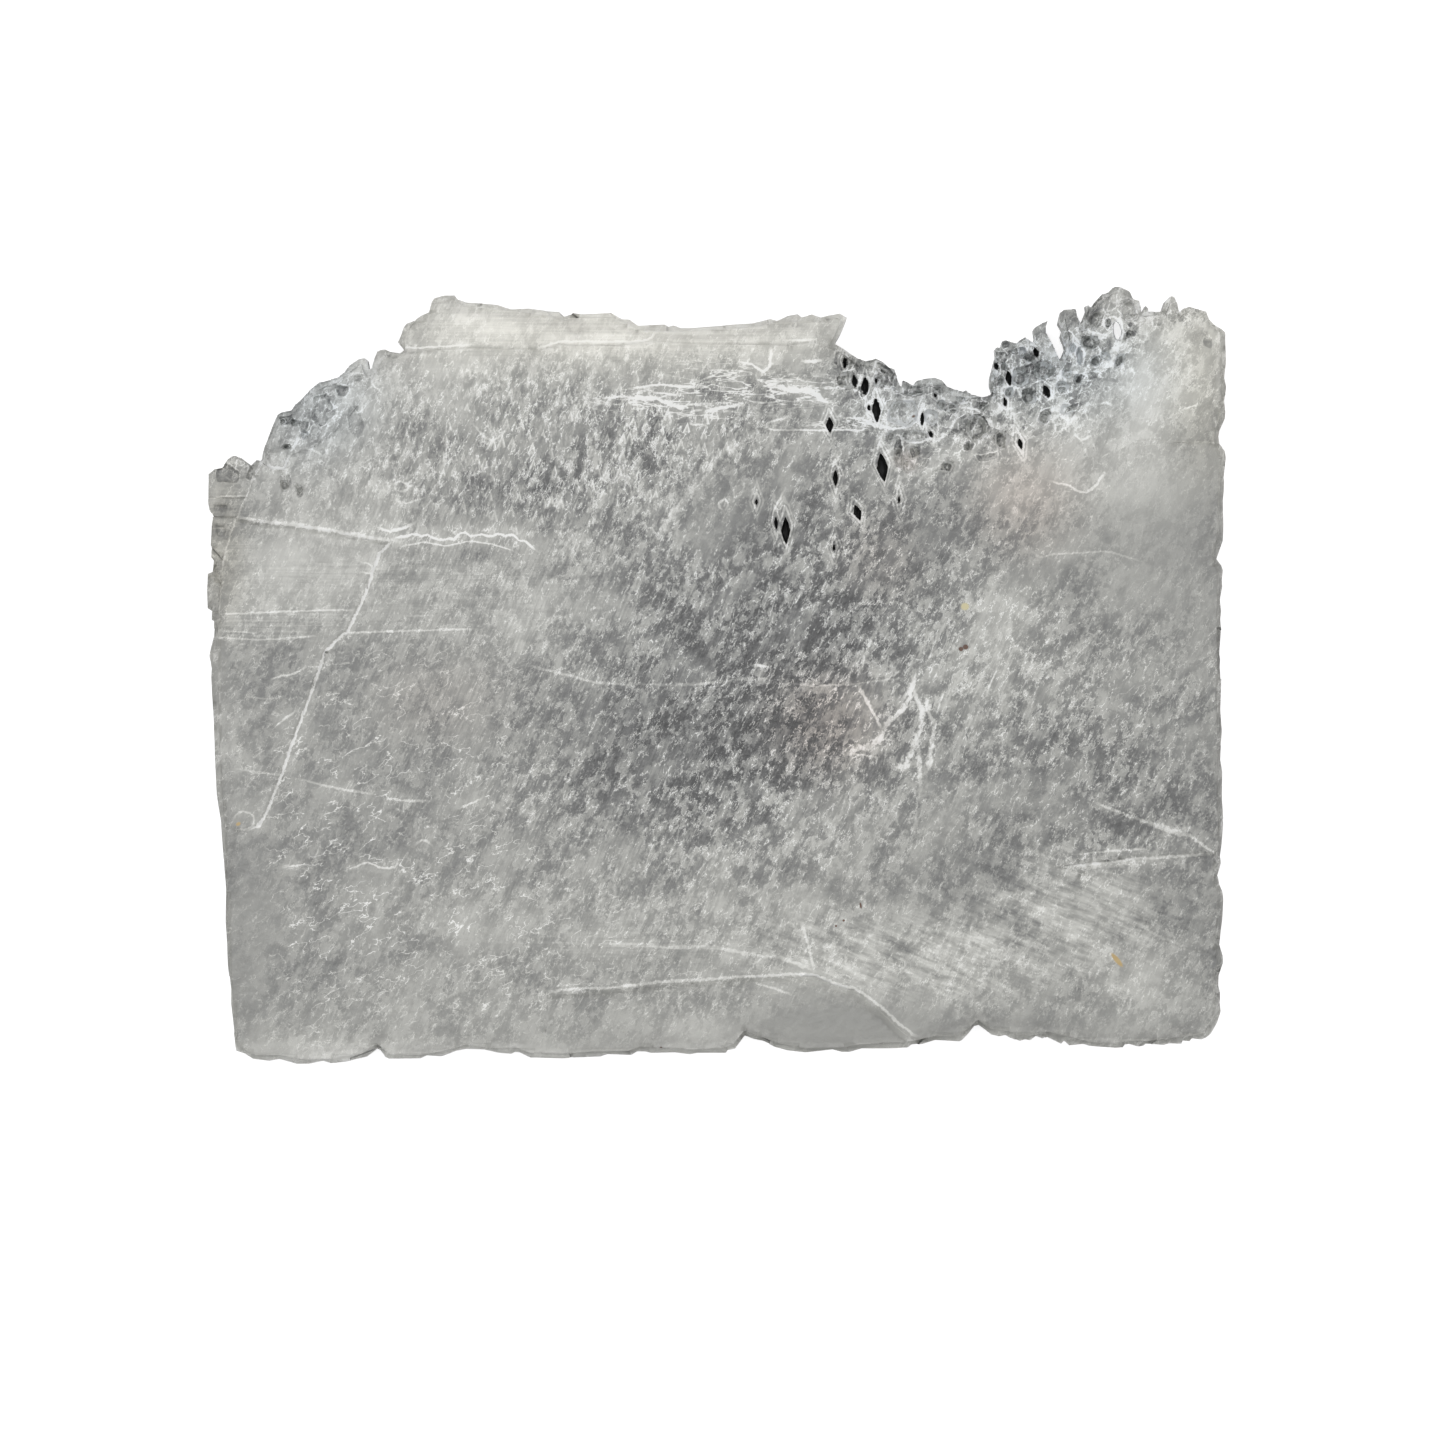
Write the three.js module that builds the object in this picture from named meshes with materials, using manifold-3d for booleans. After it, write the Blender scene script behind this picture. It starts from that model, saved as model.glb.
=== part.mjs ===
// Selenite slab: one cleavage plate of clear gypsum, lying flat on its underside.
// Millimetres, +X along the long side, +Y towards the weathered crown, +Z up. The origin is in
// the middle of the slab's box, on the surface it lies on.
import * as THREE from 'three'
import { ConvexGeometry } from 'three/addons/geometries/ConvexGeometry.js'
import { mergeVertices } from 'three/addons/utils/BufferGeometryUtils.js'
import Module from 'manifold-3d'

const wasm = await Module()
wasm.setup()

// ---- driving dimensions, in millimetres ----
const SLAB_WIDTH = 204.6
const FACE_TOP = 12.0          // the main cleavage face
const LEDGE_TOP = 10.9         // the fibrous ledge along the back edge
const WINDOW_TOP = 10.6        // the clear shelf at the back left
const RIM_TOP = 8.8            // the widest laminae, which make the outline
const RIM_UNDER = 2.6
const LAP = 1.6                // how far laminae that are one crystal reach into each other
const PEEL_DEPTH = 0.6         // the lamina split off along the left side
const PEEL_BEVEL = 0.6
const FRONT_BEVEL = 1.2
const PIT_FLOOR = 4.6          // dissolved pits end this far above the surface it lies on
const ABOVE = 3.0              // cutters reach this far over the face

// The outline is drawn on a survey grid: x to the right, y to the front, so y is turned round in
// the model. GRID_ACROSS squares make the slab's width.
const GRID_ACROSS = 1023.3
const SQUARE = SLAB_WIDTH / GRID_ACROSS

const LEFT_BLOCK = [
  [206, 497], [206, 485], [206, 473], [212, 468], [220, 466], [225, 458], [229, 455], [233, 454],
  [240, 457], [249, 464], [254, 458.5], [259, 459],
]
const CLEAR_SHELF = [
  [261, 450], [265, 441], [268, 433], [271, 425], [276, 413.5], [280, 411], [290, 409], [293, 404],
  [300, 398], [309, 388], [318, 381], [325, 379.5], [336, 376], [343, 371], [348, 364],
  [358, 357.5], [364, 356.5], [367, 359], [368, 367.5], [370, 368], [373, 357], [376, 350],
]
const BACK_LEDGE = [
  [380, 348.5], [384, 348], [388, 350], [399, 352], [403, 349], [396, 341], [398, 337], [400, 332],
  [402, 326], [405, 322], [414, 318.5], [421, 314], [428, 311], [431, 300], [434, 296.5],
  [443, 294], [454, 294], [457, 298], [466, 301], [480, 302], [497, 303.5], [511, 308],
  [528, 307], [546, 309.5], [558, 310], [564, 315], [573, 311.5], [582, 313], [611, 311.5],
  [622, 318], [629, 318], [638, 324.5], [664, 323], [669, 325], [673, 323.5], [681, 326.5],
  [696, 326], [720, 324], [752, 322], [765, 319], [770, 317.5], [777, 319.5], [788, 314.5],
  [798, 312.5], [802, 316], [812, 313], [821, 316], [831, 313.5], [840, 311.5], [848, 316],
  [846, 321], [841, 333], [835.5, 342.5],
]
const SADDLE = [
  [843, 347], [852, 353], [858, 357], [866, 359.5], [873, 358], [876, 356.5], [883, 360],
  [890, 366], [895, 368], [897, 373], [899, 381], [902, 386], [903, 379], [907, 380], [913, 384],
  [917, 379.5], [924, 377.5], [935, 376], [943, 379], [948, 385], [956, 388], [964, 390],
  [967, 388.5], [972, 393], [984, 395.5], [991, 393.5],
]
const CROWN = [
  [992, 391], [990, 386], [990, 377], [993, 366], [996, 355], [995, 348], [998, 345.5],
  [1001, 346.5], [1003, 339.5], [1007, 338.5], [1014, 341], [1017, 341.5], [1021, 338],
  [1026, 335.5], [1034, 341], [1035, 337], [1034, 328], [1037, 325], [1044, 321], [1049, 319.5],
  [1047, 327], [1047, 331], [1054, 342], [1061, 358], [1065, 348], [1064, 343], [1061, 335],
  [1063, 329], [1059, 322], [1061, 311], [1065, 308], [1077, 307.5], [1079, 316], [1082, 322],
  [1087, 309], [1086, 304.5], [1090, 303.5], [1092, 306], [1095, 301], [1103, 292.5],
  [1109, 291], [1113, 286.5], [1117, 285], [1122, 285.5], [1131, 290], [1135, 297.5],
  [1141, 299], [1142, 303], [1143, 311], [1147, 304], [1150, 307], [1150, 310], [1163, 309.5],
  [1166, 300], [1172, 294], [1176, 295], [1179.5, 302], [1181, 311], [1185, 306.5],
  [1191, 304.5], [1198, 307], [1208, 310], [1211, 318], [1216, 323.5], [1222, 327], [1227, 331],
]
const RIGHT_EDGE = [
  [1227, 340], [1228, 360], [1226, 377], [1228, 386], [1226, 400], [1227, 412], [1226.5, 418],
  [1221, 430], [1220, 436], [1221, 443], [1227, 450], [1228, 457], [1226, 475], [1225.5, 490],
  [1224.5, 500], [1225, 525], [1224.5, 540], [1221, 550], [1218, 558.5], [1223, 565],
  [1224.5, 570], [1223.5, 580], [1224, 586], [1221.5, 600], [1223, 611], [1222, 618],
  [1223, 632], [1221.5, 653], [1222.5, 659], [1222, 667], [1223, 680], [1222, 710],
  [1223.5, 730], [1222, 760], [1224, 772], [1223.5, 800], [1225.5, 825], [1223.5, 848],
  [1222, 857], [1223.5, 862], [1219.5, 876], [1221, 885], [1224, 892], [1225, 900], [1224, 920],
  [1221, 945], [1224.5, 957], [1224.5, 964], [1220.5, 976], [1220, 986], [1221.5, 992],
  [1221.5, 1003], [1223, 1012], [1219, 1024], [1212.5, 1035], [1207.5, 1039],
]
const FRONT_EDGE = [
  [1203, 1040.5], [1193, 1039.5], [1191, 1042.5], [1184, 1041.5], [1183, 1045], [1170, 1044.5],
  [1165, 1046], [1147, 1045], [1145, 1047], [1140, 1048], [1130, 1045], [1126, 1045.5],
  [1124, 1048.5], [1116, 1049], [1090, 1047], [1084, 1045], [1070, 1046.5], [1065, 1042],
  [1062, 1045], [1053, 1040.5], [1048, 1038], [1044, 1040], [1037, 1037.5], [1031, 1042],
  [1026, 1041], [1021, 1042.5], [1010, 1038.5], [1006, 1036], [1000, 1037.5], [992, 1035.5],
  [982, 1028], [979, 1026], [975, 1027], [969.5, 1034], [963, 1041], [960, 1042.5],
  [936, 1041], [923, 1045], [912, 1046], [909, 1049], [890, 1049.5], [862, 1049.5],
  [850, 1053], [842, 1053], [833, 1050.5], [806, 1053.5], [788, 1051.5], [775, 1048],
  [764, 1042.5], [754, 1040.5], [745, 1037], [741, 1042], [735, 1050], [728, 1051],
  [726, 1054], [697, 1054], [690, 1055.5], [675, 1053.5], [651, 1054], [645, 1052.5],
  [637, 1052.5], [630, 1056.5], [607, 1055.5], [600, 1058], [562, 1059.5], [529, 1058.5],
  [519, 1053.5], [514, 1053], [511, 1055], [498, 1054], [483, 1050.5], [465, 1050],
  [455, 1052], [441, 1057.5], [426, 1056.5], [420, 1059.5], [388, 1060], [384, 1058],
  [379, 1051.5], [376, 1050.5], [366, 1058], [345, 1063], [330, 1064.5], [322, 1062],
  [308, 1065], [296, 1065], [278, 1060], [268, 1062], [252, 1060], [243, 1054.5], [235, 1052],
]
const LEFT_EDGE = [
  [234, 1048], [229, 1005], [229, 990], [226, 965], [225.5, 945], [224, 922], [224.5, 890],
  [222.5, 865], [220, 835], [219.5, 823], [215, 795], [213, 755], [212, 720], [210, 690],
  [209.5, 677], [210, 668], [207, 656], [208.5, 648], [212, 635], [212.5, 621], [210, 620],
  [210, 611], [205.5, 608], [204.7, 590], [205.5, 573], [210.5, 571], [211.5, 560], [209, 557],
  [209, 545], [210, 525], [211.5, 515], [208, 511], [206, 503],
]
const RIM = [
  ...LEFT_BLOCK, ...CLEAR_SHELF, ...BACK_LEDGE, ...SADDLE, ...CROWN,
  ...RIGHT_EDGE, ...FRONT_EDGE, ...LEFT_EDGE,
]

// The uppermost lamina, which carries the main face. It stops short of the rim on every side.
const FACE = [
  [238, 1046], [233, 1005], [230, 965], [228, 922], [227, 865], [225, 830], [222, 800],
  [220, 755], [219, 720], [218, 690], [217, 640], [218, 612], [220, 585], [222, 560], [231, 530],
  [237, 516], [248, 490], [255, 472], [262, 462], [270, 468], [284, 469], [290, 455],
  [312, 447], [330, 436], [348, 416], [362, 398], [374, 376], [382, 357], [403, 355],
  [430, 350], [470, 348], [540, 350], [560, 345], [620, 345], [652, 341], [700, 344],
  [790, 345], [814, 342], [832, 349], [845, 354], [858, 364], [872, 365], [888, 371],
  [893, 384], [900, 393], [912, 391], [930, 384], [942, 387], [950, 394], [966, 397],
  [985, 402], [996, 398], [996, 380], [1001, 362], [1008, 350], [1026, 345], [1040, 346],
  [1050, 362], [1062, 367], [1069, 352], [1069, 338], [1065, 318], [1074, 314], [1080, 330],
  [1086, 330], [1091, 314], [1100, 302], [1112, 293], [1122, 291], [1130, 298], [1136, 306],
  [1140, 316], [1150, 315], [1165, 315], [1171, 301], [1175, 309], [1180, 317], [1190, 310],
  [1204, 315], [1210, 325], [1220, 332], [1222, 360], [1222, 400], [1221, 416], [1215, 430],
  [1215, 445], [1222, 455], [1220, 490], [1219, 530], [1213, 557], [1218, 573], [1217, 620],
  [1217, 700], [1218, 760], [1218, 800], [1220, 825], [1217, 857], [1214, 876], [1218, 896],
  [1218, 916], [1215, 945], [1218, 960], [1214, 980], [1216, 1005], [1213, 1020], [1205, 1033],
  [1190, 1036], [1150, 1041], [1128, 1041], [1116, 1044], [1090, 1042], [1066, 1036],
  [1048, 1032], [1030, 1036], [1005, 1031], [990, 1029], [978, 1020], [966, 1030], [956, 1037],
  [936, 1036], [905, 1043], [860, 1045], [845, 1048], [806, 1049], [780, 1044], [760, 1037],
  [744, 1031], [734, 1044], [722, 1049], [690, 1050], [640, 1047], [628, 1051], [604, 1051],
  [560, 1054], [530, 1053], [516, 1048], [500, 1049], [466, 1045], [440, 1052], [418, 1055],
  [390, 1055], [377, 1044], [362, 1054], [330, 1059], [305, 1060], [278, 1055], [255, 1055],
  [244, 1049],
]
// The fibrous ledge behind the main face, a little lower.
const LEDGE = [
  [386, 354], [406, 353], [402, 341], [406, 330], [420, 321], [433, 311], [437, 302], [452, 299],
  [464, 306], [500, 309], [540, 314], [562, 320], [580, 317], [612, 317], [626, 323],
  [640, 330], [680, 331], [750, 327], [770, 323], [800, 321], [838, 317], [842, 320],
  [834, 337], [826, 352], [800, 362], [600, 364], [420, 368],
]
// The clear shelf at the back left, lower again.
const WINDOW = [
  [266, 460], [269, 446], [275, 428], [281, 416], [292, 413], [303, 402], [320, 387], [338, 381],
  [350, 370], [361, 363], [364, 374], [376, 372], [392, 380], [372, 424], [332, 452],
  [290, 476], [262, 478],
]
// The underside's lamina, which the slab lies on.
const SOLE = [
  [246, 1036], [240, 990], [236, 920], [234, 860], [230, 800], [224, 740], [222, 690],
  [222, 640], [219, 600], [222, 560], [224, 520], [218, 488], [224, 476], [238, 468],
  [256, 474], [270, 462], [277, 440], [287, 424], [304, 410], [322, 394], [344, 386],
  [362, 374], [386, 362], [412, 358], [414, 336], [438, 312], [460, 309], [500, 314],
  [560, 321], [620, 328], [700, 334], [780, 328], [832, 325], [830, 350], [852, 366],
  [884, 376], [904, 398], [940, 393], [980, 405], [1006, 396], [1008, 368], [1036, 362],
  [1062, 374], [1076, 346], [1094, 322], [1118, 298], [1136, 318], [1176, 320], [1200, 324],
  [1214, 344], [1215, 400], [1208, 436], [1214, 462], [1212, 520], [1206, 556], [1210, 600],
  [1208, 700], [1212, 800], [1207, 872], [1212, 908], [1207, 948], [1209, 1000],
  [1196, 1026], [1150, 1034], [1100, 1037], [1050, 1025], [1010, 1024], [978, 1012],
  [950, 1030], [900, 1037], [840, 1042], [790, 1041], [745, 1022], [722, 1043], [660, 1044],
  [600, 1048], [540, 1048], [490, 1040], [440, 1046], [400, 1048], [377, 1034], [350, 1050],
  [300, 1053], [262, 1050],
]

// The lamina split off between the long bright ledge and the left edge.
const PEEL = [
  [190, 826], [228, 824], [240, 829], [250, 826], [258, 822], [266, 807], [279, 774], [288, 747],
  [295, 727], [306, 699], [318, 666], [322, 652], [334, 638], [345, 630], [355, 610],
  [364, 591], [371, 570], [377, 553], [386, 544], [345, 537], [290, 528], [262, 526],
  [236, 521], [190, 519],
]
// The hollow along the front edge, under the long curved ledge. Its floor dips to the right.
const FRONT_HOLLOW = [
  [544, 1080], [548, 999], [570, 995], [609, 994], [643, 990], [669, 987], [701, 986],
  [735, 983], [770, 982], [792, 981], [815, 983], [833, 991], [851, 996], [864, 1006],
  [879, 1018], [894, 1033], [912, 1047], [914, 1080],
]
const FRONT_HOLLOW_DIP = 1.35   // degrees
// The worn corner at the back right, which also dips to the right.
const CORNER_HOLLOW = [[1122, 441], [1122, 250], [1260, 250], [1260, 441]]
const CORNER_HOLLOW_DIP = 1.7
// A thin lamina missing at the lower right, under a straight bright ledge.
const RIGHT_PEEL = [
  [1062, 867], [1110, 863], [1135, 859], [1167, 857], [1206, 855], [1260, 853], [1260, 968],
  [1214, 952], [1184, 946], [1160, 935], [1146, 920], [1120, 893], [1088, 874],
]
// Steps on the left block, outside the main face: where each begins, and how high its top is.
const BLOCK_STEPS = [
  { from: 430, to: 496, top: 7.4 },
  { from: 496, to: 516, top: 8.1 },
  { from: 556, to: 611, top: 7.8 },
]
const BLOCK_STEPS_ACROSS = [190, 262]

// Pits dissolved along the crystal's fibres: x, y, half width, half length, lean in degrees.
const LOZENGE_PITS = [
  [845, 362.5, 1.9, 5.2, 0], [854.5, 381, 2.5, 6.4, 8], [865.3, 386, 3.2, 8.6, 2],
  [876.4, 410.5, 4.1, 11.6, 4], [869.2, 407.8, 1.1, 2.3, 20], [829.7, 425, 3.9, 7.8, 4],
  [922.4, 419, 2.1, 6.2, -2], [931, 434.5, 1.5, 3, 25], [882.5, 467.5, 5.6, 14, 8],
  [935.3, 395.3, 1.1, 2, 25], [876.4, 380, 1, 2.3, 0], [835.5, 478, 2.6, 8, 2],
  [857.5, 512.5, 4.2, 8.4, 20], [785.8, 530.5, 4.6, 13.4, 2], [776, 523, 1.6, 6.2, 4],
  [756.5, 502, 1.1, 2.8, 0], [834, 547.5, 1.2, 3.3, 0], [899, 500, 1.2, 3.7, 0],
  [1020.3, 443.7, 1.9, 5.3, 14], [1005, 402, 1.3, 4.5, 14], [1046.3, 391, 3.5, 6.4, 24],
  [1009, 378, 3.1, 7.4, 10], [1036, 352.5, 2.4, 5, 18], [997, 365.3, 1.7, 3.5, 20],
]
// Weathered pockets of the honeycomb: x, y, half width, half length, lean, depth in millimetres.
const POCKETS = [
  [847, 380, 10, 8.5, 0, 2.2], [848, 361, 5.5, 6, 0, 1.7], [857, 365, 2.6, 3.6, 0, 1.3],
  [867, 365, 5, 3, 0, 1.2], [879, 381, 5.5, 6, 0, 1.7], [885, 370, 5, 3.6, 25, 1.3],
  [908, 391, 15, 4.4, -8, 2.2], [903, 413, 16, 14, 0, 1.9], [914, 436, 15, 5.6, 6, 1.5],
  [931, 417, 7, 8, 30, 1.9], [941, 404.5, 4.4, 5, 0, 2.1], [953, 408, 5.6, 5, 0, 1.6],
  [977, 428, 11, 13, 0, 2.7], [891, 436, 4.2, 6, 0, 1.6], [899, 458, 4.6, 11, 10, 2.3],
  [911, 453, 7.5, 7, 0, 2.1], [910, 467, 6, 5.6, 0, 1.5], [948, 466, 6, 6, 0, 1.9],
  [968, 446, 2.4, 5, 0, 2.1], [938, 391, 4, 3.4, 0, 1.3], [961, 399, 5, 3, 12, 1.3],
  [1007, 352, 3.4, 3.6, 0, 1.7], [1015, 350, 4, 4, 0, 1.9], [1022.5, 352, 3.2, 6, 0, 2.3],
  [1029, 358, 5, 4, 0, 1.6], [1004, 366, 2.6, 4.6, 15, 2.1], [1020, 378, 9, 9, 0, 2.7],
  [1044, 371, 11, 8.5, 10, 2.5], [1001, 381, 3.4, 5, 0, 1.7], [1009.5, 392, 4.4, 5, 0, 2.3],
  [1029, 397, 7.4, 7.4, 0, 2.5], [1063, 386, 7, 4.8, 0, 1.9], [1078, 379, 3.4, 5.4, 20, 1.9],
  [1067, 373, 5, 5, 0, 1.3], [1073, 348, 2.6, 4, 0, 1.7], [1079.5, 356, 2.2, 9, 4, 2.9],
  [1090, 342, 9.5, 7, 0, 2.3], [1095.5, 361, 4.4, 5.2, 0, 2.3], [1106, 356, 5.4, 3.3, -35, 1.9],
  [1120, 360, 4, 8, -32, 2.1], [1095, 320, 5.5, 9, -20, 1.3], [1129, 311, 7.5, 10, 0, 1.3],
  [1108.5, 322, 2.4, 3.2, 0, 1.8], [1128, 335, 3.6, 4.6, 0, 1.4], [1044, 418, 4.4, 8, -30, 1.8],
  [1067, 410, 7, 4.6, -15, 1.4], [1002, 440, 8, 9, 0, 2.3], [983, 407, 5, 4, 0, 1.5],
  [280, 421, 5, 2.4, 0, 1.6], [293, 422, 4, 3, 0, 1.8], [304, 434, 3.4, 4.2, 0, 1.6],
  [285, 446, 3.2, 2, 0, 1.4], [284, 486, 4, 6, 0, 1.6], [299, 489, 4, 5, 20, 1.4],
]
// The one place where a pocket has gone right through.
const THROUGH_HOLE = [
  [1115.5, 321], [1119, 324.5], [1121.3, 331], [1120.5, 336], [1118, 340], [1116, 339],
  [1114, 333], [1113.5, 326],
]

// ---- from the survey grid to millimetres ----
const gridBox = new THREE.Box2().setFromPoints(RIM.map(([x, y]) => new THREE.Vector2(x, y)))
const GRID_MIDDLE = gridBox.getCenter(new THREE.Vector2())

function place([x, y]) {
  return new THREE.Vector2((x - GRID_MIDDLE.x) * SQUARE, (GRID_MIDDLE.y - y) * SQUARE)
}

// ---- solids ----
function solidOf(geometry) {
  geometry.deleteAttribute('normal')
  geometry.deleteAttribute('uv')
  const merged = mergeVertices(geometry)
  return new wasm.Manifold(new wasm.Mesh({
    numProp: 3,
    vertProperties: new Float32Array(merged.attributes.position.array),
    triVerts: new Uint32Array(merged.index.array),
  }))
}

// A lamina: an outline between two heights.
function lamina(outline, under, top) {
  const geometry = new THREE.ExtrudeGeometry(new THREE.Shape(outline.map(place)), {
    depth: top - under, bevelEnabled: false,
  })
  return solidOf(geometry.translate(0, 0, under))
}

// A cutter whose floor is at a height, with its lower edge bevelled outwards. A dip turns the
// floor about its left end, so the cut fades out there.
function hollow(outline, floor, bevel, depth, dip = 0) {
  const geometry = new THREE.ExtrudeGeometry(new THREE.Shape(outline.map(place)), {
    depth: ABOVE, bevelEnabled: true, bevelSegments: 1, bevelSize: bevel, bevelThickness: depth,
  })
  const left = place(outline[0]).x
  geometry.translate(-left, 0, depth)
  geometry.rotateY(THREE.MathUtils.degToRad(dip))
  return solidOf(geometry.translate(left, 0, floor))
}

// Points round a closed curve, each at its own share of the half sizes.
function ring([x, y], halfWidth, halfLength, lean, shares, height) {
  const turn = THREE.MathUtils.degToRad(lean)
  const centre = place([x, y])
  return shares.map((share, index) => {
    const angle = (index / shares.length) * 2 * Math.PI
    const point = new THREE.Vector2(
      Math.sin(angle) * halfWidth * share * SQUARE,
      Math.cos(angle) * halfLength * share * SQUARE,
    )
    point.rotateAround(new THREE.Vector2(), turn).add(centre)
    return new THREE.Vector3(point.x, point.y, height)
  })
}

// A lozenge with sharp ends, narrowing to its floor.
const LOZENGE_SHARES = [1, 0.78, 0.92, 0.74, 1, 0.8, 0.95, 0.72]
const LOZENGE_TAPER = 0.62

function lozengePit([x, y, halfWidth, halfLength, lean]) {
  const small = LOZENGE_TAPER
  return solidOf(new ConvexGeometry([
    ...ring([x, y], halfWidth, halfLength, lean, LOZENGE_SHARES, FACE_TOP + ABOVE),
    ...ring([x, y], halfWidth, halfLength, lean, LOZENGE_SHARES, FACE_TOP - 1),
    ...ring([x, y], halfWidth * small, halfLength * small, lean, LOZENGE_SHARES, PIT_FLOOR),
  ]))
}

// A bowl with an uneven rim. Its rings shrink towards the floor.
const BOWL_SIDES = 9
const BOWL_RINGS = [[1.0, 0], [0.86, 0.55], [0.5, 1]]   // share of the width, share of the depth

function bowl([x, y, halfWidth, halfLength, lean, depth], index) {
  const shares = Array.from({ length: BOWL_SIDES }, (_, side) => (
    1 + 0.12 * Math.sin(side * 2.4 + index * 1.7)
  ))
  const points = BOWL_RINGS.flatMap(([wide, deep]) => ring(
    [x, y], halfWidth * wide, halfLength * wide, lean, shares, surfaceAt([x, y]) - depth * deep,
  ))
  const lid = ring([x, y], halfWidth, halfLength, lean, shares, FACE_TOP + ABOVE)
  return solidOf(new ConvexGeometry([...points, ...lid]))
}

// Height of the ground that a pocket is cut into.
const WINDOW_CORNER = [400, 470]

function surfaceAt([x, y]) {
  return x < WINDOW_CORNER[0] && y < WINDOW_CORNER[1] ? WINDOW_TOP : FACE_TOP
}

// ---- chips broken off along the rim, at the upper and the lower edge of the widest laminae ----
const CHIP_COUNT = 34
const CHIP_SEED = 7
const CHIP_LENGTH = [5, 13]
const CHIP_DEPTH = [0.7, 1.7]
const CHIP_HEIGHT = [0.8, 1.7]

function randomFrom(seed) {
  let state = seed
  return ([low, high]) => {
    state = (state * 16807) % 2147483647
    return low + (high - low) * (state / 2147483647)
  }
}

function rimChips() {
  const between = randomFrom(CHIP_SEED)
  const stations = [...BACK_LEDGE, ...RIGHT_EDGE, ...FRONT_EDGE, ...LEFT_EDGE]
  const step = stations.length / CHIP_COUNT
  return Array.from({ length: CHIP_COUNT }, (_, index) => {
    const at = Math.floor((index + between([0, 0.8])) * step)
    const here = place(stations[at])
    const next = place(stations[(at + 1) % stations.length])
    const along = next.clone().sub(here).normalize()
    const height = between(CHIP_HEIGHT)
    const geometry = new THREE.BoxGeometry(between(CHIP_LENGTH), 2 * between(CHIP_DEPTH), 2 * height)
    geometry.rotateX(between([-0.25, 0.25]))
    geometry.rotateZ(Math.atan2(along.y, along.x) + between([-0.12, 0.12]))
    geometry.translate(here.x, here.y, index % 2 ? RIM_TOP : RIM_UNDER)
    return solidOf(geometry)
  })
}

// ---- the slab ----
// The laminae that carry the face and the two shelves, which start inside the widest ones.
function upperLaminae() {
  const under = RIM_TOP - LAP
  return [lamina(FACE, under, FACE_TOP), lamina(LEDGE, under, LEDGE_TOP), lamina(WINDOW, under, WINDOW_TOP)]
}

// What the left block has lost above each of its steps, clear of the laminae over it.
function blockSteps() {
  const [left, right] = BLOCK_STEPS_ACROSS
  return BLOCK_STEPS.map(({ from, to, top }) => {
    const above = lamina([[left, from], [right, from], [right, to], [left, to]], top, RIM_TOP + ABOVE)
    return above.subtract(lamina(FACE, 0, FACE_TOP)).subtract(lamina(WINDOW, 0, FACE_TOP))
  })
}

function slabSolid() {
  let slab = lamina(RIM, RIM_UNDER, RIM_TOP).add(lamina(SOLE, 0, RIM_UNDER + LAP))
  for (const part of upperLaminae()) slab = slab.add(part)

  const cutters = [
    ...blockSteps(),
    hollow(PEEL, FACE_TOP - PEEL_DEPTH, PEEL_BEVEL, PEEL_DEPTH),
    hollow(RIGHT_PEEL, FACE_TOP - PEEL_DEPTH / 2, PEEL_BEVEL, PEEL_DEPTH / 2),
    hollow(FRONT_HOLLOW, FACE_TOP, FRONT_BEVEL, FRONT_BEVEL, FRONT_HOLLOW_DIP),
    hollow(CORNER_HOLLOW, FACE_TOP, PEEL_BEVEL, PEEL_DEPTH, CORNER_HOLLOW_DIP),
    ...rimChips(),
    ...POCKETS.map(bowl),
    ...LOZENGE_PITS.map(lozengePit),
    lamina(THROUGH_HOLE, -ABOVE, FACE_TOP + ABOVE),
  ]
  for (const cutter of cutters) slab = slab.subtract(cutter)
  return slab
}

function meshOf(solid, name, material) {
  const { vertProperties, triVerts } = solid.getMesh()
  const geometry = new THREE.BufferGeometry()
  geometry.setAttribute('position', new THREE.BufferAttribute(vertProperties, 3))
  geometry.setIndex(new THREE.BufferAttribute(triVerts, 1))
  geometry.computeVertexNormals()
  const mesh = new THREE.Mesh(geometry, material)
  mesh.name = name
  return mesh
}

const selenite = new THREE.MeshStandardMaterial({ color: 0xa6a7a3, roughness: 0.35, metalness: 0 })
const model = new THREE.Group()
model.add(meshOf(slabSolid(), 'selenite_slab', selenite))

export default model
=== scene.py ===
# %% [markdown]
# # A selenite slab, dressed over its CAD solid
# Selenite is gypsum that has grown as clear, bendable sheets. This slab is one cleavage plate:
# glassy sheets lie on each other like the leaves of a book, and milky veils, needles and cracks
# between them catch the light. Nothing on it is painted, so every mark has to look as if it sits
# in the crystal.
#
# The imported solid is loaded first. Its size is kept, because what is made here must fit in it.

import math

import bmesh
import bpy
import numpy as np
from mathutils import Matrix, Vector, noise
from mathutils.bvhtree import BVHTree


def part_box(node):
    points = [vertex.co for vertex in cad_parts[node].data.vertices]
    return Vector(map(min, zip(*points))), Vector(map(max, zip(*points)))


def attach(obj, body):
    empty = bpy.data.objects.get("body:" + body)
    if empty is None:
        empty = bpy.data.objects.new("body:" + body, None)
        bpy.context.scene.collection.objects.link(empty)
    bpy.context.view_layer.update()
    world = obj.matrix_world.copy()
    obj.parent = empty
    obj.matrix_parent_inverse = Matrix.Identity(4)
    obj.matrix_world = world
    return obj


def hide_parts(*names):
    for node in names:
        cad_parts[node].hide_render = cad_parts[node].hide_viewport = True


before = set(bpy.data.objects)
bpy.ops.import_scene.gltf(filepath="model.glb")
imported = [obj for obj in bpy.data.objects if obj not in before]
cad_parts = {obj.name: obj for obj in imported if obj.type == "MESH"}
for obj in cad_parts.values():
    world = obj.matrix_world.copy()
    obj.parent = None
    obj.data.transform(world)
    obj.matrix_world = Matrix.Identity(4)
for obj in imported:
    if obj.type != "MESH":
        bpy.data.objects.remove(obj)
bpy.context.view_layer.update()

MM = 0.001
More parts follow.
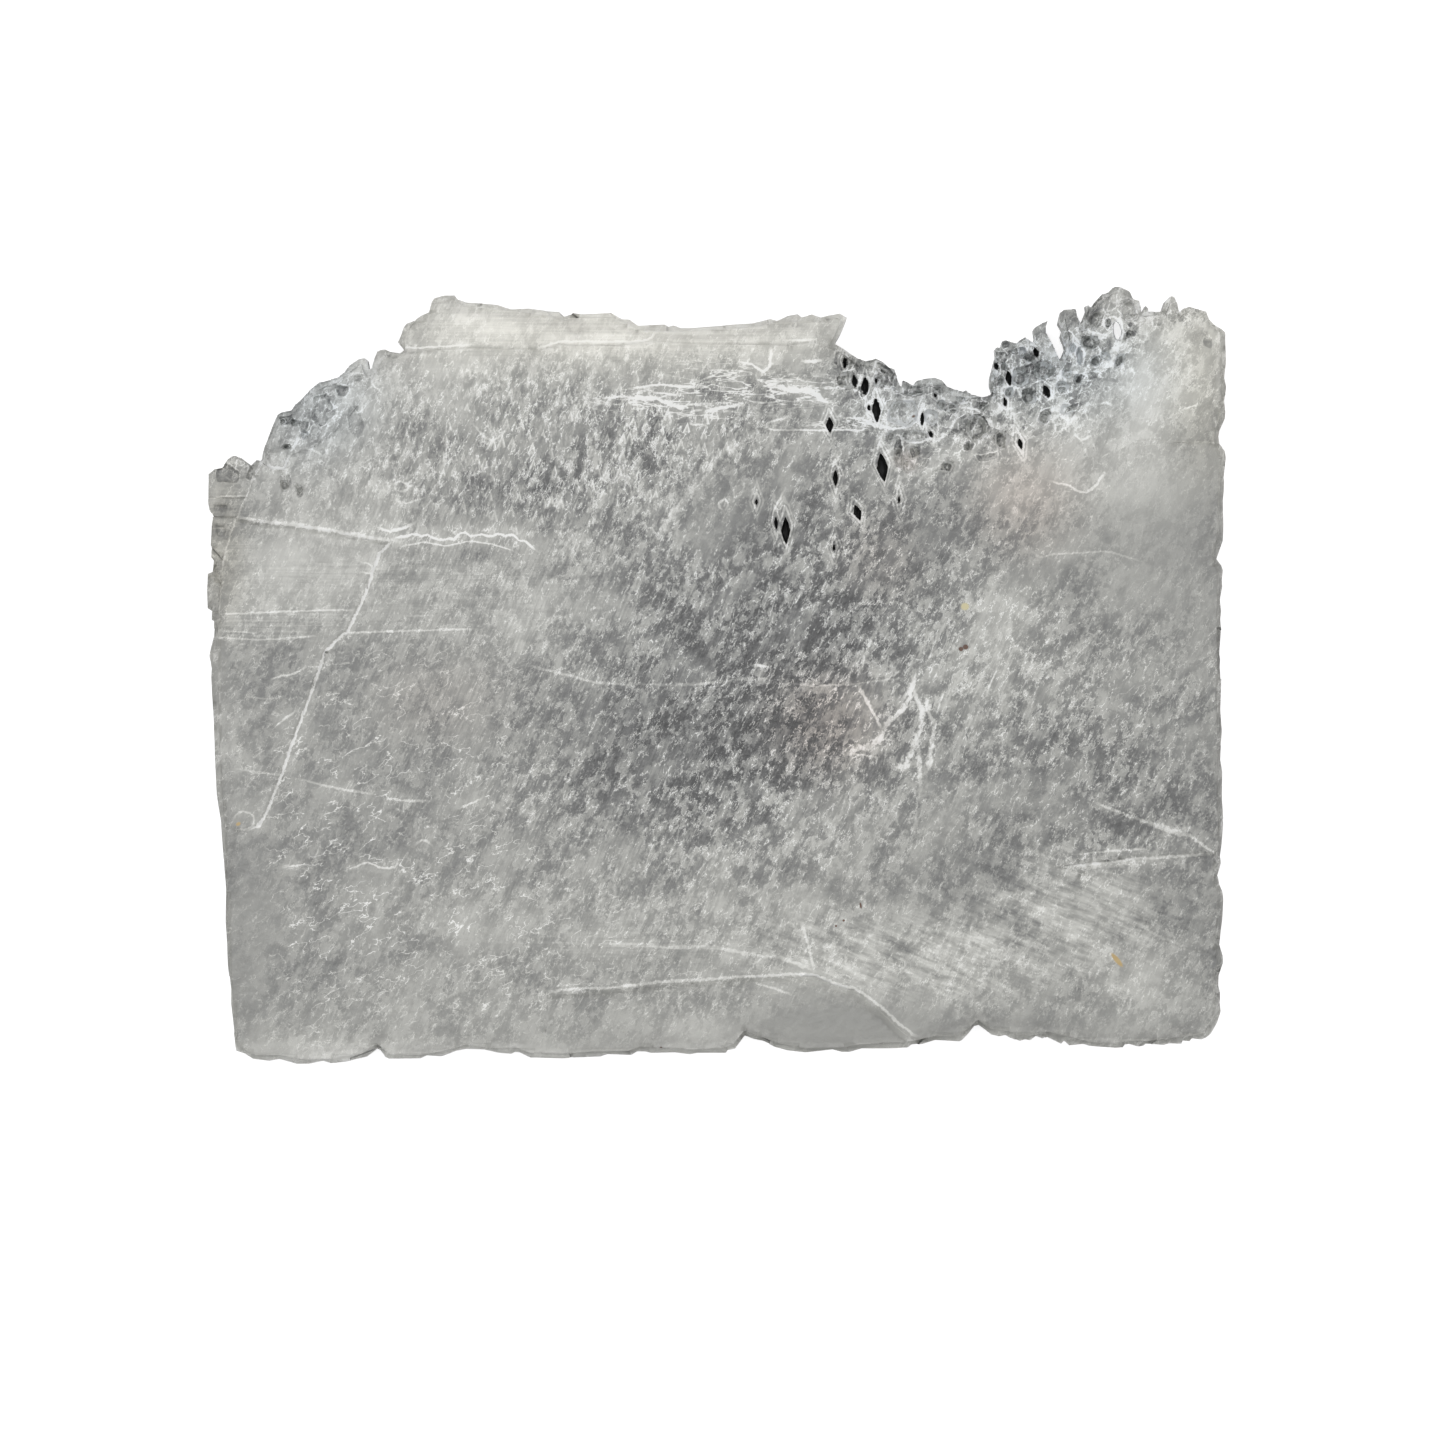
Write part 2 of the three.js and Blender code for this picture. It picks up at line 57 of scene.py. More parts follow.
SLAB = "selenite_slab"
slab_low, slab_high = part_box(SLAB)
print("solid, mm:", [round(v / MM, 2) for v in slab_high - slab_low])

# %% [markdown]
# ## The survey grid
# The slab was surveyed on a square grid, 1023.3 squares across, with x to the right and y down
# the page. The CAD source uses the same grid, so a crack drawn on it meets the ledge that the
# solid already has. Heights stay in millimetres.

# %% From grid squares to metres
GRID_ACROSS = 1023.3
GRID_MIDDLE = (716.35, 675.0)
SQUARE = (slab_high.x - slab_low.x) / GRID_ACROSS
FACE_TOP = slab_high.z


def grid_place(x, y):
    """Grid x and y of a place given in metres, as numbers or as arrays."""
    return x / SQUARE + GRID_MIDDLE[0], GRID_MIDDLE[1] - y / SQUARE


def to_grid(points):
    """Grid x and y of many points, as two arrays."""
    return grid_place(points[:, 0], points[:, 1])


print("one grid square is", round(SQUARE / MM, 4), "mm")

# %% [markdown]
# ## Pits
# Water has drilled lozenge-shaped pits along the fibres. The solid already holds them, so the
# scene finds them there: each one ends in a flat floor at one height. Their inside is painted
# black as painted shade for their depth, and thin pale terraces, lozenges too, stand round each
# mouth.

# %% Find the pits in the solid
PIT_FLOOR = 4.6 * MM
MERGE = 1e-6
SAME_HEIGHT = 1e-5
LEVEL = 0.99
LOZENGE_TAPER = 0.62
TERRACE_SHIFT = 0.3


def pit_mouths():
    """Middle, half sizes and directions (short, then long) of each pit's mouth, from its floor."""
    solid = bmesh.new()
    solid.from_mesh(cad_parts[SLAB].data)
    bmesh.ops.remove_doubles(solid, verts=solid.verts, dist=MERGE)
    solid.normal_update()
    floors = {
        f for f in solid.faces
        if f.normal.z > LEVEL and abs(f.calc_center_median().z - PIT_FLOOR) < SAME_HEIGHT
    }
    mouths = []
    while floors:
        group, rim = set(), [floors.pop()]
        while rim:
            face = rim.pop()
            group.add(face)
            near = {f for e in face.edges for f in e.link_faces} & floors
            floors -= near
            rim += near
        corners = np.array([v.co[:2] for v in {v for f in group for v in f.verts}])
        middle = (corners.max(axis=0) + corners.min(axis=0)) / 2
        _, axes = np.linalg.eigh(np.cov((corners - middle).T))
        axes[:, 1] *= np.sign(axes[1, 1])
        spread = np.abs((corners - middle) @ axes).max(axis=0) / LOZENGE_TAPER
        mouths.append((middle, spread, axes))
    solid.free()
    return mouths


mouths = pit_mouths()
print(len(mouths), "pits found")


def pit_share(points, mouth):
    """Distance from a pit's middle as a share of its mouth: 1 on the edge of the mouth."""
    middle, spread, axes = mouth
    return np.hypot(*(((points[:, :2] - middle) @ axes) / spread).T)


def lozenge_distance(points, mouth):
    """Distance in squares outside a lozenge round a pit. It stands a little beyond the pit's top."""
    middle, (short, long), axes = mouth
    across, along = ((points[:, :2] - middle) @ axes).T
    share = np.abs(across) / short + np.abs(along - TERRACE_SHIFT * long) / long
    return (share - 1) * short * long / math.hypot(short, long) / SQUARE


# %% [markdown]
# ## A mesh fine enough to carve
# The solid has large flat faces, which can't carry relief or soft masks. Subdividing them would
# follow their long thin triangles. It is better to melt the coplanar triangles into whole faces
# and then to slice those with planes, as a baker slices a sheet cake, so that each flat becomes an
# even grid and the broken outline stays exactly where it is. Slicing in halves, and the halves in
# halves again, means that each face meets only a few planes.

# %% Slice a set of faces into even strips
EPS = 2e-6


def reach(face, axis):
    """Lowest and highest coordinate of a face along an axis."""
    values = [v.co[axis] for v in face.verts]
    return min(values), max(values)


def slice_faces(bm, faces, axis, first, step, count):
    """Cuts faces at count - 1 even planes across an axis, and returns all the pieces."""
    if count <= 1 or not faces:
        return faces
    half = count // 2
    at = first + half * step
    below, above, crossing = [], [], []
    for face in faces:
        low, high = reach(face, axis)
        if high <= at + EPS:
            below.append(face)
        elif low >= at - EPS:
            above.append(face)
        else:
            crossing.append(face)
    if crossing:
        edges = {e for f in crossing for e in f.edges}
        verts = {v for f in crossing for v in f.verts}
        place = Vector((0, 0, 0))
        normal = Vector((0, 0, 0))
        place[axis] = at
        normal[axis] = 1
        cut = bmesh.ops.bisect_plane(
            bm, geom=crossing + list(edges) + list(verts), dist=EPS / 4,
            plane_co=place, plane_no=normal,
        )
        for face in cut["geom"]:
            if isinstance(face, bmesh.types.BMFace):
                middle = face.calc_center_median()[axis]
                (below if middle < at else above).append(face)
    return slice_faces(bm, below, axis, first, step, half) + slice_faces(
        bm, above, axis, at, step, count - half
    )


# %% Melt, slice and triangulate a copy of the solid
# A face belongs to the sole if its normal's z is under DOWN, and needs fine cells only over UP.
DOWN = -0.9
UP = 0.3
MELT_ANGLE = math.radians(0.3)
CELL = 1.08 * MM
FINE_SHARE = 3
FINE_CELL = CELL / FINE_SHARE
SOLE_CELL = 2.6 * MM
BAND = 0.8 * MM


def even(low, high, cell):
    """Start and number of the cells that cover a stretch, with a little over at both ends."""
    count = math.ceil((high - low) / cell) + 1
    return low - (count * cell - (high - low)) / 2, count


# The weathered parts need finer cells. Each oval: grid x and y, half width, half height.
FINE_OVALS = [
    (862, 388, 34, 42), (905, 425, 62, 52), (965, 425, 50, 40), (1012, 378, 34, 44),
    (1060, 370, 48, 52), (1105, 330, 36, 44), (1140, 325, 22, 24),
    (300, 430, 48, 42), (345, 390, 34, 26), (230, 500, 26, 48), (292, 488, 16, 14),
]
PIT_MARGIN = 9


def fine_ovals():
    """The ovals above, and one round each pit."""
    middles = np.array([middle for middle, _, _ in mouths])
    return FINE_OVALS + [
        (x, y, short / SQUARE + PIT_MARGIN, long / SQUARE + PIT_MARGIN)
        for x, y, (_, (short, long), _) in zip(*to_grid(middles), mouths)
    ]


def in_ovals(face, ovals):
    """True if a face's middle lies in one of the ovals."""
    middle = face.calc_center_median()
    x, y = grid_place(middle.x, middle.y)
    return any(((x - a) / wide) ** 2 + ((y - b) / high) ** 2 < 1 for a, b, wide, high in ovals)


def sliced_slab():
    bm = bmesh.new()
    bm.from_mesh(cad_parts[SLAB].data)
    bmesh.ops.remove_doubles(bm, verts=bm.verts, dist=MERGE)
    bmesh.ops.dissolve_limit(bm, angle_limit=MELT_ANGLE, verts=bm.verts, edges=bm.edges)
    bm.normal_update()
    sole = [f for f in bm.faces if f.normal.z < DOWN]
    rest = [f for f in bm.faces if f.normal.z >= DOWN]
    for axis in (0, 1):
        first, count = even(slab_low[axis], slab_high[axis], SOLE_CELL)
        sole = slice_faces(bm, sole, axis, first, SOLE_CELL, count)
        first, count = even(slab_low[axis], slab_high[axis], CELL)
        rest = slice_faces(bm, rest, axis, first, CELL, count)
    first, count = even(0, FACE_TOP, BAND)
    rest = slice_faces(bm, rest, 2, first, BAND, count)
    ovals = fine_ovals()
    comb = [f for f in rest if f.normal.z > UP and in_ovals(f, ovals)]
    for axis in (0, 1):
        first, count = even(slab_low[axis], slab_high[axis], CELL)
        comb = slice_faces(bm, comb, axis, first - FINE_CELL, FINE_CELL, FINE_SHARE * (count + 1))
    bmesh.ops.triangulate(bm, faces=bm.faces, quad_method="BEAUTY", ngon_method="BEAUTY")
    bmesh.ops.dissolve_degenerate(bm, dist=EPS, edges=bm.edges)
    bm.normal_update()
    return bm


bm = sliced_slab()
open_edges = sum(not e.is_manifold for e in bm.edges)
print("sliced slab:", len(bm.faces), "faces,", open_edges, "open edges,", "volume cm3",
      round(bm.calc_volume() * 1e6, 2))

# %% [markdown]
# ## Veils, windows and other soft zones
# Light reaches the eye through the crystal, so a zone looks bright where milky veils are dense and
# dark where the crystal is clear. These zones are soft clouds. They could be drawn with many noise
# nodes, but noise can't be told where to go. So each cloud is named and placed here, and their sum
# is kept on the mesh as an attribute, which the material reads.

# %% Clouds, each named and placed
# Each cloud: grid x and y, half width, half height, turn in degrees, strength.
BRIGHTNESS_BASE = 0.661
BRIGHTNESS = {
    "cream band along the back ledge": (615, 328, 250, 40, 1, 0.20),
    "its lower fade": (500, 385, 180, 30, 0, 0.06),
    "its bright left end": (455, 312, 35, 26, 0, 0.09),
    "its right part": (775, 340, 70, 26, 0, 0.05),
    "dim ground under the torn mass": (675, 395, 80, 35, 0, -0.06),
    "dim ground under the flames": (512, 482, 85, 48, 0, -0.06),
    "cloudy crown corner": (1165, 365, 70, 90, 0, 0.16),
    "veil under the crown": (1110, 465, 90, 50, -10, 0.09),
    "dim right edge": (1195, 440, 30, 60, 0, -0.04),
    "veil at the upper right": (1120, 560, 90, 45, 0, 0.02),
    "dark heart": (750, 680, 120, 120, 20, -0.11),
    "heart, upper arm": (860, 590, 110, 60, 20, -0.06),
    "heart, under the pits": (905, 495, 70, 55, 0, -0.04),
    "heart, lower arm": (630, 760, 140, 60, 0, -0.08),
    "weathered crown": (1078, 365, 52, 62, 0, -0.02),
    # painted light: the walls of the through hole are made much lighter, for the light that comes
    # through the hole
    "walls of the through hole": (1118, 331, 5, 11, -10, 0.50),
    "dim ground of the comb": (868, 396, 58, 36, 0, -0.04),
    "pale veil between the pits": (912, 412, 48, 20, 0, 0.11),
    "pale veil under the comb": (965, 466, 55, 22, 0, 0.06),
    "shoulder of the crown": (1128, 345, 26, 26, 0, -0.08),
    "pale ground under the clear shelf": (375, 385, 40, 30, 40, 0.06),
    "veil at the left": (325, 560, 110, 60, 0, 0.09),
    "left edge veil": (250, 600, 50, 40, 0, 0.05),
    "dim block at the left": (225, 515, 30, 45, 0, -0.07),
    "its top corner": (230, 475, 24, 18, 0, -0.05),
    "pale left edge": (225, 740, 25, 45, 0, 0.05),
    "clear patch below it": (275, 690, 90, 60, 0, -0.02),
    "pale ground left of the heart": (500, 610, 60, 55, 0, 0.07),
    "pale ground in front of it": (520, 780, 55, 40, 0, 0.06),
    "dim ground in front of the heart": (775, 740, 45, 35, 0, -0.05),
    "dim ground by the web": (925, 745, 30, 32, 0, -0.05),
    "light gap right of the heart": (975, 580, 40, 30, 0, 0.05),
    "pink corner of the veil": (1022, 497, 32, 28, 0, 0.05),
    "pale ground by the shelf": (350, 480, 100, 38, 0, 0.07),
    "dark under the torn line": (460, 553, 60, 10, 2, -0.06),
    "even ground by the pits": (770, 515, 50, 38, 0, -0.09),
    "pale point left of it": (575, 542, 32, 22, 0, 0.06),
    "grey behind the pink": (815, 725, 50, 40, 0, -0.05),
    "grey under the upper veil": (1045, 580, 55, 26, 0, -0.05),
    "grey right of the web": (1022, 740, 36, 60, 0, -0.05),
    "soft ground in front": (480, 910, 120, 45, 0, 0.05),
    "dim band at the right": (1120, 822, 90, 22, 0, -0.05),
    "right of the heart": (1000, 645, 75, 80, 10, 0.07),
    "dim zone at the right": (1120, 770, 90, 70, 0, -0.04),
    "bright veil in front": (890, 955, 160, 42, -4, 0.11),
    "bright veil at the right": (1080, 893, 60, 42, -12, 0.06),
    "dim corner at the right": (1190, 930, 45, 70, 0, -0.02),
    "veil in front of the heart": (790, 835, 110, 50, 0, 0.05),
    "dark patch beside it": (975, 860, 42, 26, 0, -0.06),
    "pale bay in front": (705, 1022, 58, 30, 0, 0.065),
    "pale stretch at the right": (1150, 985, 60, 45, -20, 0.06),
    "front edge band": (420, 1055, 300, 14, 0, 0.10),
    "front edge band at the right": (1000, 1040, 300, 12, 0, 0.04),
    "front left veil": (500, 1015, 200, 45, 0, 0.04),
    "front left corner": (325, 1055, 60, 24, 0, 0.05),
    "dim stretch in front of the heart": (700, 822, 130, 24, 0, -0.045),
    "left end of the bright veil": (650, 922, 110, 28, 5, 0.04),
    "right end of the bright veil": (1080, 935, 90, 24, -8, 0.04),
    "dim ground beside the upper arm": (960, 552, 80, 42, 0, -0.04),
    "dim ground behind the lower arm": (650, 715, 100, 32, 0, -0.035),
    "dim ground among the squiggles": (375, 845, 45, 30, 0, -0.035),
}
SOFT_EDGE = 2.4


def clouds(x, y, listed):
    """Sum of soft ellipses at the given grid points."""
    total = np.zeros(len(x))
    for at_x, at_y, wide, high, turn, strength in listed:
        angle = math.radians(turn)
        across = (x - at_x) * math.cos(angle) - (y - at_y) * math.sin(angle)
        along = (x - at_x) * math.sin(angle) + (y - at_y) * math.cos(angle)
        far = np.sqrt((across / wide) ** 2 + (along / high) ** 2)
        total += strength * np.exp(-far**SOFT_EDGE)
    return total


# The kinds of mark and of tint, each with the clouds where it shows, in the same form.
FLAMES = [(560, 455, 190, 85, 0, 1.0), (700, 425, 70, 45, 0, 0.6), (755, 510, 70, 60, 0, -0.8)]
FINE_FLECKS = [
    (790, 620, 190, 190, 0, 1.0), (1095, 770, 110, 140, 0, 0.55), (680, 780, 160, 90, 0, 0.6),
]
SQUIGGLES = [
    (400, 780, 170, 150, 0, 1.0), (500, 950, 260, 90, 0, 0.6), (300, 920, 80, 120, 0, 0.5),
    (1080, 700, 140, 60, 0, 0.4),
]
SLANTED_NEEDLES = [
    (700, 720, 190, 170, 0, 1.0), (460, 520, 170, 120, 0, 0.7), (980, 700, 80, 90, 0, 0.8),
    (450, 720, 120, 120, 0, 0.5), (620, 900, 160, 70, 0, 0.5),
]
LEVEL_FIBRES = [
    (610, 330, 260, 42, 0, 0.7), (420, 575, 240, 16, 0, 0.9), (640, 945, 140, 18, 0, 0.8),
    (280, 625, 70, 22, 0, 1.0), (480, 610, 160, 20, 0, 0.5), (230, 525, 30, 50, 0, 0.8),
    (660, 985, 140, 10, 0, 0.6),
]
FRONT_FEATHERS = [(1080, 900, 110, 60, -10, 1.0), (900, 955, 170, 45, -5, 1.0)]
SMOOTH = [
    (620, 1056, 420, 14, 0, 1.0), (1160, 520, 75, 90, 0, 0.8), (610, 325, 250, 34, 0, 0.7),
    (250, 930, 35, 130, 0, 0.7), (840, 1015, 80, 30, 0, 0.9), (320, 560, 70, 40, 0, 0.5),
    (870, 1030, 330, 16, 0, 0.8), (730, 512, 55, 55, 0, 0.6), (1090, 905, 80, 40, -12, 0.5),
]
CLEAR = [
    (318, 405, 55, 45, 30, 1.0), (1060, 370, 80, 50, 0, 0.9), (905, 420, 70, 60, 0, 0.8),
    (840, 1010, 90, 30, 0, 0.5), (760, 700, 150, 130, 20, 0.35),
]
HONEYCOMB = [
    (868, 385, 38, 40, 0, 1.0), (925, 420, 55, 44, 0, 0.6), (985, 425, 40, 34, 0, 1.0),
    (1012, 370, 34, 44, 0, 1.0), (1065, 375, 44, 46, 0, 1.0), (1105, 335, 42, 40, 0, 1.0),
    (1050, 420, 40, 22, 0, 0.6), (905, 468, 36, 26, 0, 0.5), (1172, 308, 40, 16, 0, 0.8),
    (322, 412, 66, 28, 45, 0.7), (235, 466, 26, 14, 0, 0.7),
]
WARM = [
    (615, 325, 260, 46, 0, 1.0), (1205, 400, 36, 80, 0, 1.0), (222, 545, 20, 75, 0, 1.6),
    (1190, 330, 50, 40, 0, 0.4),
]
PINK = [
    (825, 722, 55, 48, 0, 1.3), (1025, 500, 50, 50, 0, 1.0), (880, 560, 40, 40, 0, 0.5),
    (908, 460, 14, 10, 0, 0.8), (440, 700, 60, 40, 0, 0.35),
]
COOL = [
    (318, 410, 60, 50, 30, 1.0), (1060, 370, 100, 50, 0, 1.0), (900, 400, 70, 50, 0, 0.6),
    (760, 620, 220, 150, 0, 0.1),
]
TORN = [
    (680, 397, 85, 13, 4, 1.0), (735, 378, 60, 14, -8, 0.7), (800, 393, 50, 13, 5, 1.0),
    (850, 425, 60, 9, 3, 0.7), (700, 416, 50, 7, 0, 0.6),
]
ZONES = {
    "torn": TORN, "flames": FLAMES, "fine_flecks": FINE_FLECKS, "squiggles": SQUIGGLES,
    "needles": SLANTED_NEEDLES, "level_fibres": LEVEL_FIBRES, "feathers": FRONT_FEATHERS,
    "smooth": SMOOTH, "clear": CLEAR, "honeycomb": HONEYCOMB, "warm": WARM, "pink": PINK,
    "cool": COOL,
}
print(len(BRIGHTNESS), "brightness clouds,", len(ZONES), "kinds of zone")

# %% [markdown]
# ## Facets of the weathered parts
# Where the crown and its neighbours have weathered, small clear planes lie at all angles, with
# thin pale walls between them. A soft cloud can't look like a plane. So each facet is a polygon
# with its corners given here. The mesh keeps the signed distance to the nearest facet, as a map of
# the sea floor keeps depths, and the material draws a crisp edge and a wall from it.

# %% Facets, each with its brightness and its corners
FACETS = [
    # the crown
    (-0.03, [(1060, 310), (1077, 310), (1080, 325), (1074, 328), (1064, 326), (1060, 317)]),
    (-0.05, [(1089, 306), (1100, 298), (1112, 295), (1108, 304), (1104, 318), (1100, 326),
             (1090, 330), (1085, 327)]),
    (0.02, [(1118, 301), (1132, 298), (1140, 304), (1138, 314), (1128, 318), (1118, 310)]),
    (-0.18, [(1081, 337), (1098, 336), (1100, 343), (1092, 349), (1084, 346)]),
    (0.20, [(1077, 344), (1080, 349), (1081, 357), (1078.5, 364), (1076, 357), (1075.5, 350)]),
    (-0.20, [(1094, 357), (1100, 355), (1103, 359), (1097, 366), (1092, 362)]),
    (-0.18, [(1118, 357), (1123, 355), (1122, 361), (1118, 367), (1115, 364)]),
    (-0.16, [(1002, 341), (1010, 341), (1010, 346), (1004, 347)]),
    (0.24, [(1020, 343), (1024, 345), (1025, 351), (1022, 355), (1019, 350)]),
    (-0.12, [(1028, 348), (1033, 351), (1036, 357), (1032, 361), (1023, 358)]),
    (-0.09, [(1013, 368), (1026, 365), (1040, 359), (1055, 361), (1054, 374), (1040, 380),
             (1022, 386), (1013, 380)]),
    (-0.18, [(1022, 390), (1029, 388), (1036, 392), (1033, 400), (1028, 404), (1023, 398)]),
    (0.08, [(1059, 368), (1068, 373), (1077, 373), (1072, 384), (1067, 383), (1058, 377)]),
    (-0.22, [(1080, 374), (1085, 376), (1080, 382), (1076, 384)]),
    (-0.10, [(996, 351), (1006, 351), (1007, 361), (998, 363)]),
    (-0.10, [(995, 372), (1002, 375), (1000, 384), (994, 386)]),
    (-0.12, [(1003, 388), (1013, 389), (1010, 395), (1004, 396)]),
    (-0.09, [(1057, 387), (1066, 386), (1068, 392), (1060, 394)]),
    (-0.06, [(1066, 331), (1072, 334), (1074, 344), (1068, 348), (1065, 340)]),
    (-0.14, [(1104, 325), (1108, 321), (1111, 323), (1108, 329)]),
    (-0.14, [(1128, 322), (1134, 321), (1132, 326), (1128, 327)]),
    (-0.12, [(1128, 331), (1138, 330), (1134, 336), (1126, 336)]),
    (-0.12, [(1040, 412), (1050, 408), (1054, 416), (1046, 424), (1040, 420)]),
    (-0.09, [(1066, 407), (1078, 403), (1076, 409), (1066, 412)]),
    (-0.10, [(1088, 372), (1100, 372), (1097, 378), (1089, 380)]),
    (-0.06, [(1036, 396), (1048, 390), (1052, 396), (1044, 403)]),
    (-0.10, [(1176, 314), (1190, 316), (1188, 322), (1178, 321)]),
    (-0.12, [(1203, 337), (1213, 339), (1212, 349), (1205, 347)]),
    (-0.08, [(1153, 318), (1163, 319), (1160, 326), (1154, 325)]),
    # the honeycomb
    (-0.10, [(836, 350), (847, 352), (855, 360), (852, 369), (841, 371), (834, 362)]),
    (-0.13, [(876, 361), (888, 364), (895, 372), (892, 387), (881, 388), (877, 378)]),
    (-0.14, [(836, 376), (845, 375), (847, 385), (840, 387)]),
    (-0.10, [(857, 388), (866, 384), (868, 392), (862, 397)]),
    (-0.10, [(903, 381), (913, 386), (926, 383), (943, 384), (940, 389), (924, 395), (905, 393)]),
    (-0.08, [(958, 419), (968, 413), (985, 416), (989, 427), (983, 438), (972, 440), (960, 430)]),
    (0.05, [(889, 405), (904, 400), (915, 401), (914, 411), (908, 421), (897, 424), (889, 418)]),
    (-0.12, [(936, 403), (947, 401), (955, 407), (945, 411)]),
    (-0.10, [(848, 421), (862, 424), (870, 427), (858, 430), (850, 427)]),
    (-0.08, [(966, 397), (980, 396), (988, 403), (980, 409), (968, 407)]),
    (-0.16, [(896, 440), (901, 440), (902, 452), (897, 456), (894, 448)]),
    (-0.10, [(910, 448), (921, 446), (919, 455), (912, 457)]),
    (-0.12, [(963, 444), (976, 443), (972, 449), (964, 451)]),
    (-0.16, [(942, 462), (952, 464), (950, 470), (941, 470)]),
    (-0.10, [(976, 456), (998, 453), (996, 459), (980, 461)]),
    (-0.14, [(997, 432), (1006, 434), (1005, 447), (998, 446)]),
    (-0.08, [(926, 424), (936, 422), (938, 431), (929, 434)]),
    # the clear shelf
    (-0.14, [(276, 416), (290, 413), (294, 422), (281, 425)]),
    (-0.12, [(298, 420), (308, 421), (306, 433), (300, 432)]),
    (-0.08, [(313, 397), (327, 393), (335, 413), (320, 427), (311, 417)]),
    (-0.12, [(334, 386), (349, 385), (346, 395), (338, 397)]),
    (-0.10, [(353, 374), (363, 374), (361, 381), (353, 381)]),
    (-0.09, [(347, 409), (357, 405), (365, 426), (357, 440), (349, 430)]),
    (-0.08, [(279, 477), (290, 474), (292, 487), (282, 489)]),
    (-0.10, [(296, 490), (302, 486), (303, 496), (298, 498)]),
    (-0.16, [(284, 444), (291, 445), (289, 449), (283, 448)]),
    (0.08, [(269, 452), (283, 453), (284, 464), (271, 465)]),
    (0.10, [(329, 379), (340, 377), (338, 383), (330, 384)]),
    (-0.10, [(327, 470), (333, 468), (334, 480), (329, 480)]),
    # the block at the left
    (-0.09, [(214, 467), (224, 462), (238, 472), (236, 482), (215, 481)]),
    (0.06, [(221, 457), (240, 457), (242, 463), (230, 464)]),
    (-0.07, [(211, 503), (226, 504), (225, 511), (212, 511)]),
    (-0.07, [(214, 524), (225, 526), (223, 537), (215, 536)]),
    (-0.12, [(247, 465), (252, 467), (249, 480), (245, 478)]),
]
FACET_REACH = 6.0
RAGGED = 1.4
RAGGED_SCALE = 0.16
RAGGED_LAYER = 4.0


def ragged(x, y):
    """Grid points moved about by noise, so that straight edges read there come out broken."""
    places = zip(x * RAGGED_SCALE, y * RAGGED_SCALE)
    moved = [noise.noise_vector((a, b, RAGGED_LAYER)) for a, b in places]
    shift = np.array(moved)[:, :2] * RAGGED
    return x + shift[:, 0], y + shift[:, 1]


def polygon_distance(x, y, corners):
    """Signed distance to a polygon's edge: negative inside."""
    best = np.full(len(x), np.inf)
    inside = np.zeros(len(x), bool)
    for (ax, ay), (bx, by) in zip(corners, corners[1:] + corners[:1]):
        way_x, way_y = bx - ax, by - ay
        share = np.clip(((x - ax) * way_x + (y - ay) * way_y) / (way_x**2 + way_y**2), 0, 1)
        best = np.minimum(best, np.hypot(x - ax - share * way_x, y - ay - share * way_y))
        if way_y:
            inside ^= ((ay > y) != (by > y)) & (x < ax + (y - ay) * way_x / way_y)
    return np.where(inside, -best, best)


def facet_values(x, y):
    """Signed distance to the nearest facet, and that facet's brightness."""
    edge, light = np.full(len(x), FACET_REACH), np.zeros(len(x))
    for brightness, corners in FACETS:
        away = polygon_distance(x, y, corners)
        closer = away < edge
        edge = np.where(closer, away, edge)
        light = np.where(closer, brightness, light)
    return np.maximum(edge, -FACET_REACH), light


print(len(FACETS), "facets")

# %% [markdown]
# ## Cracks and ledges
# A crack in a sheet crystal is a thin bright line, far finer than the mesh. A line of its own
# geometry would look glued on. So the mesh carries, for each crack, the signed distance to it,
# which runs evenly through zero and so stays sharp between vertices that are far apart. Cracks
# that come near each other get attributes of their own, as crossing roads get bridges.

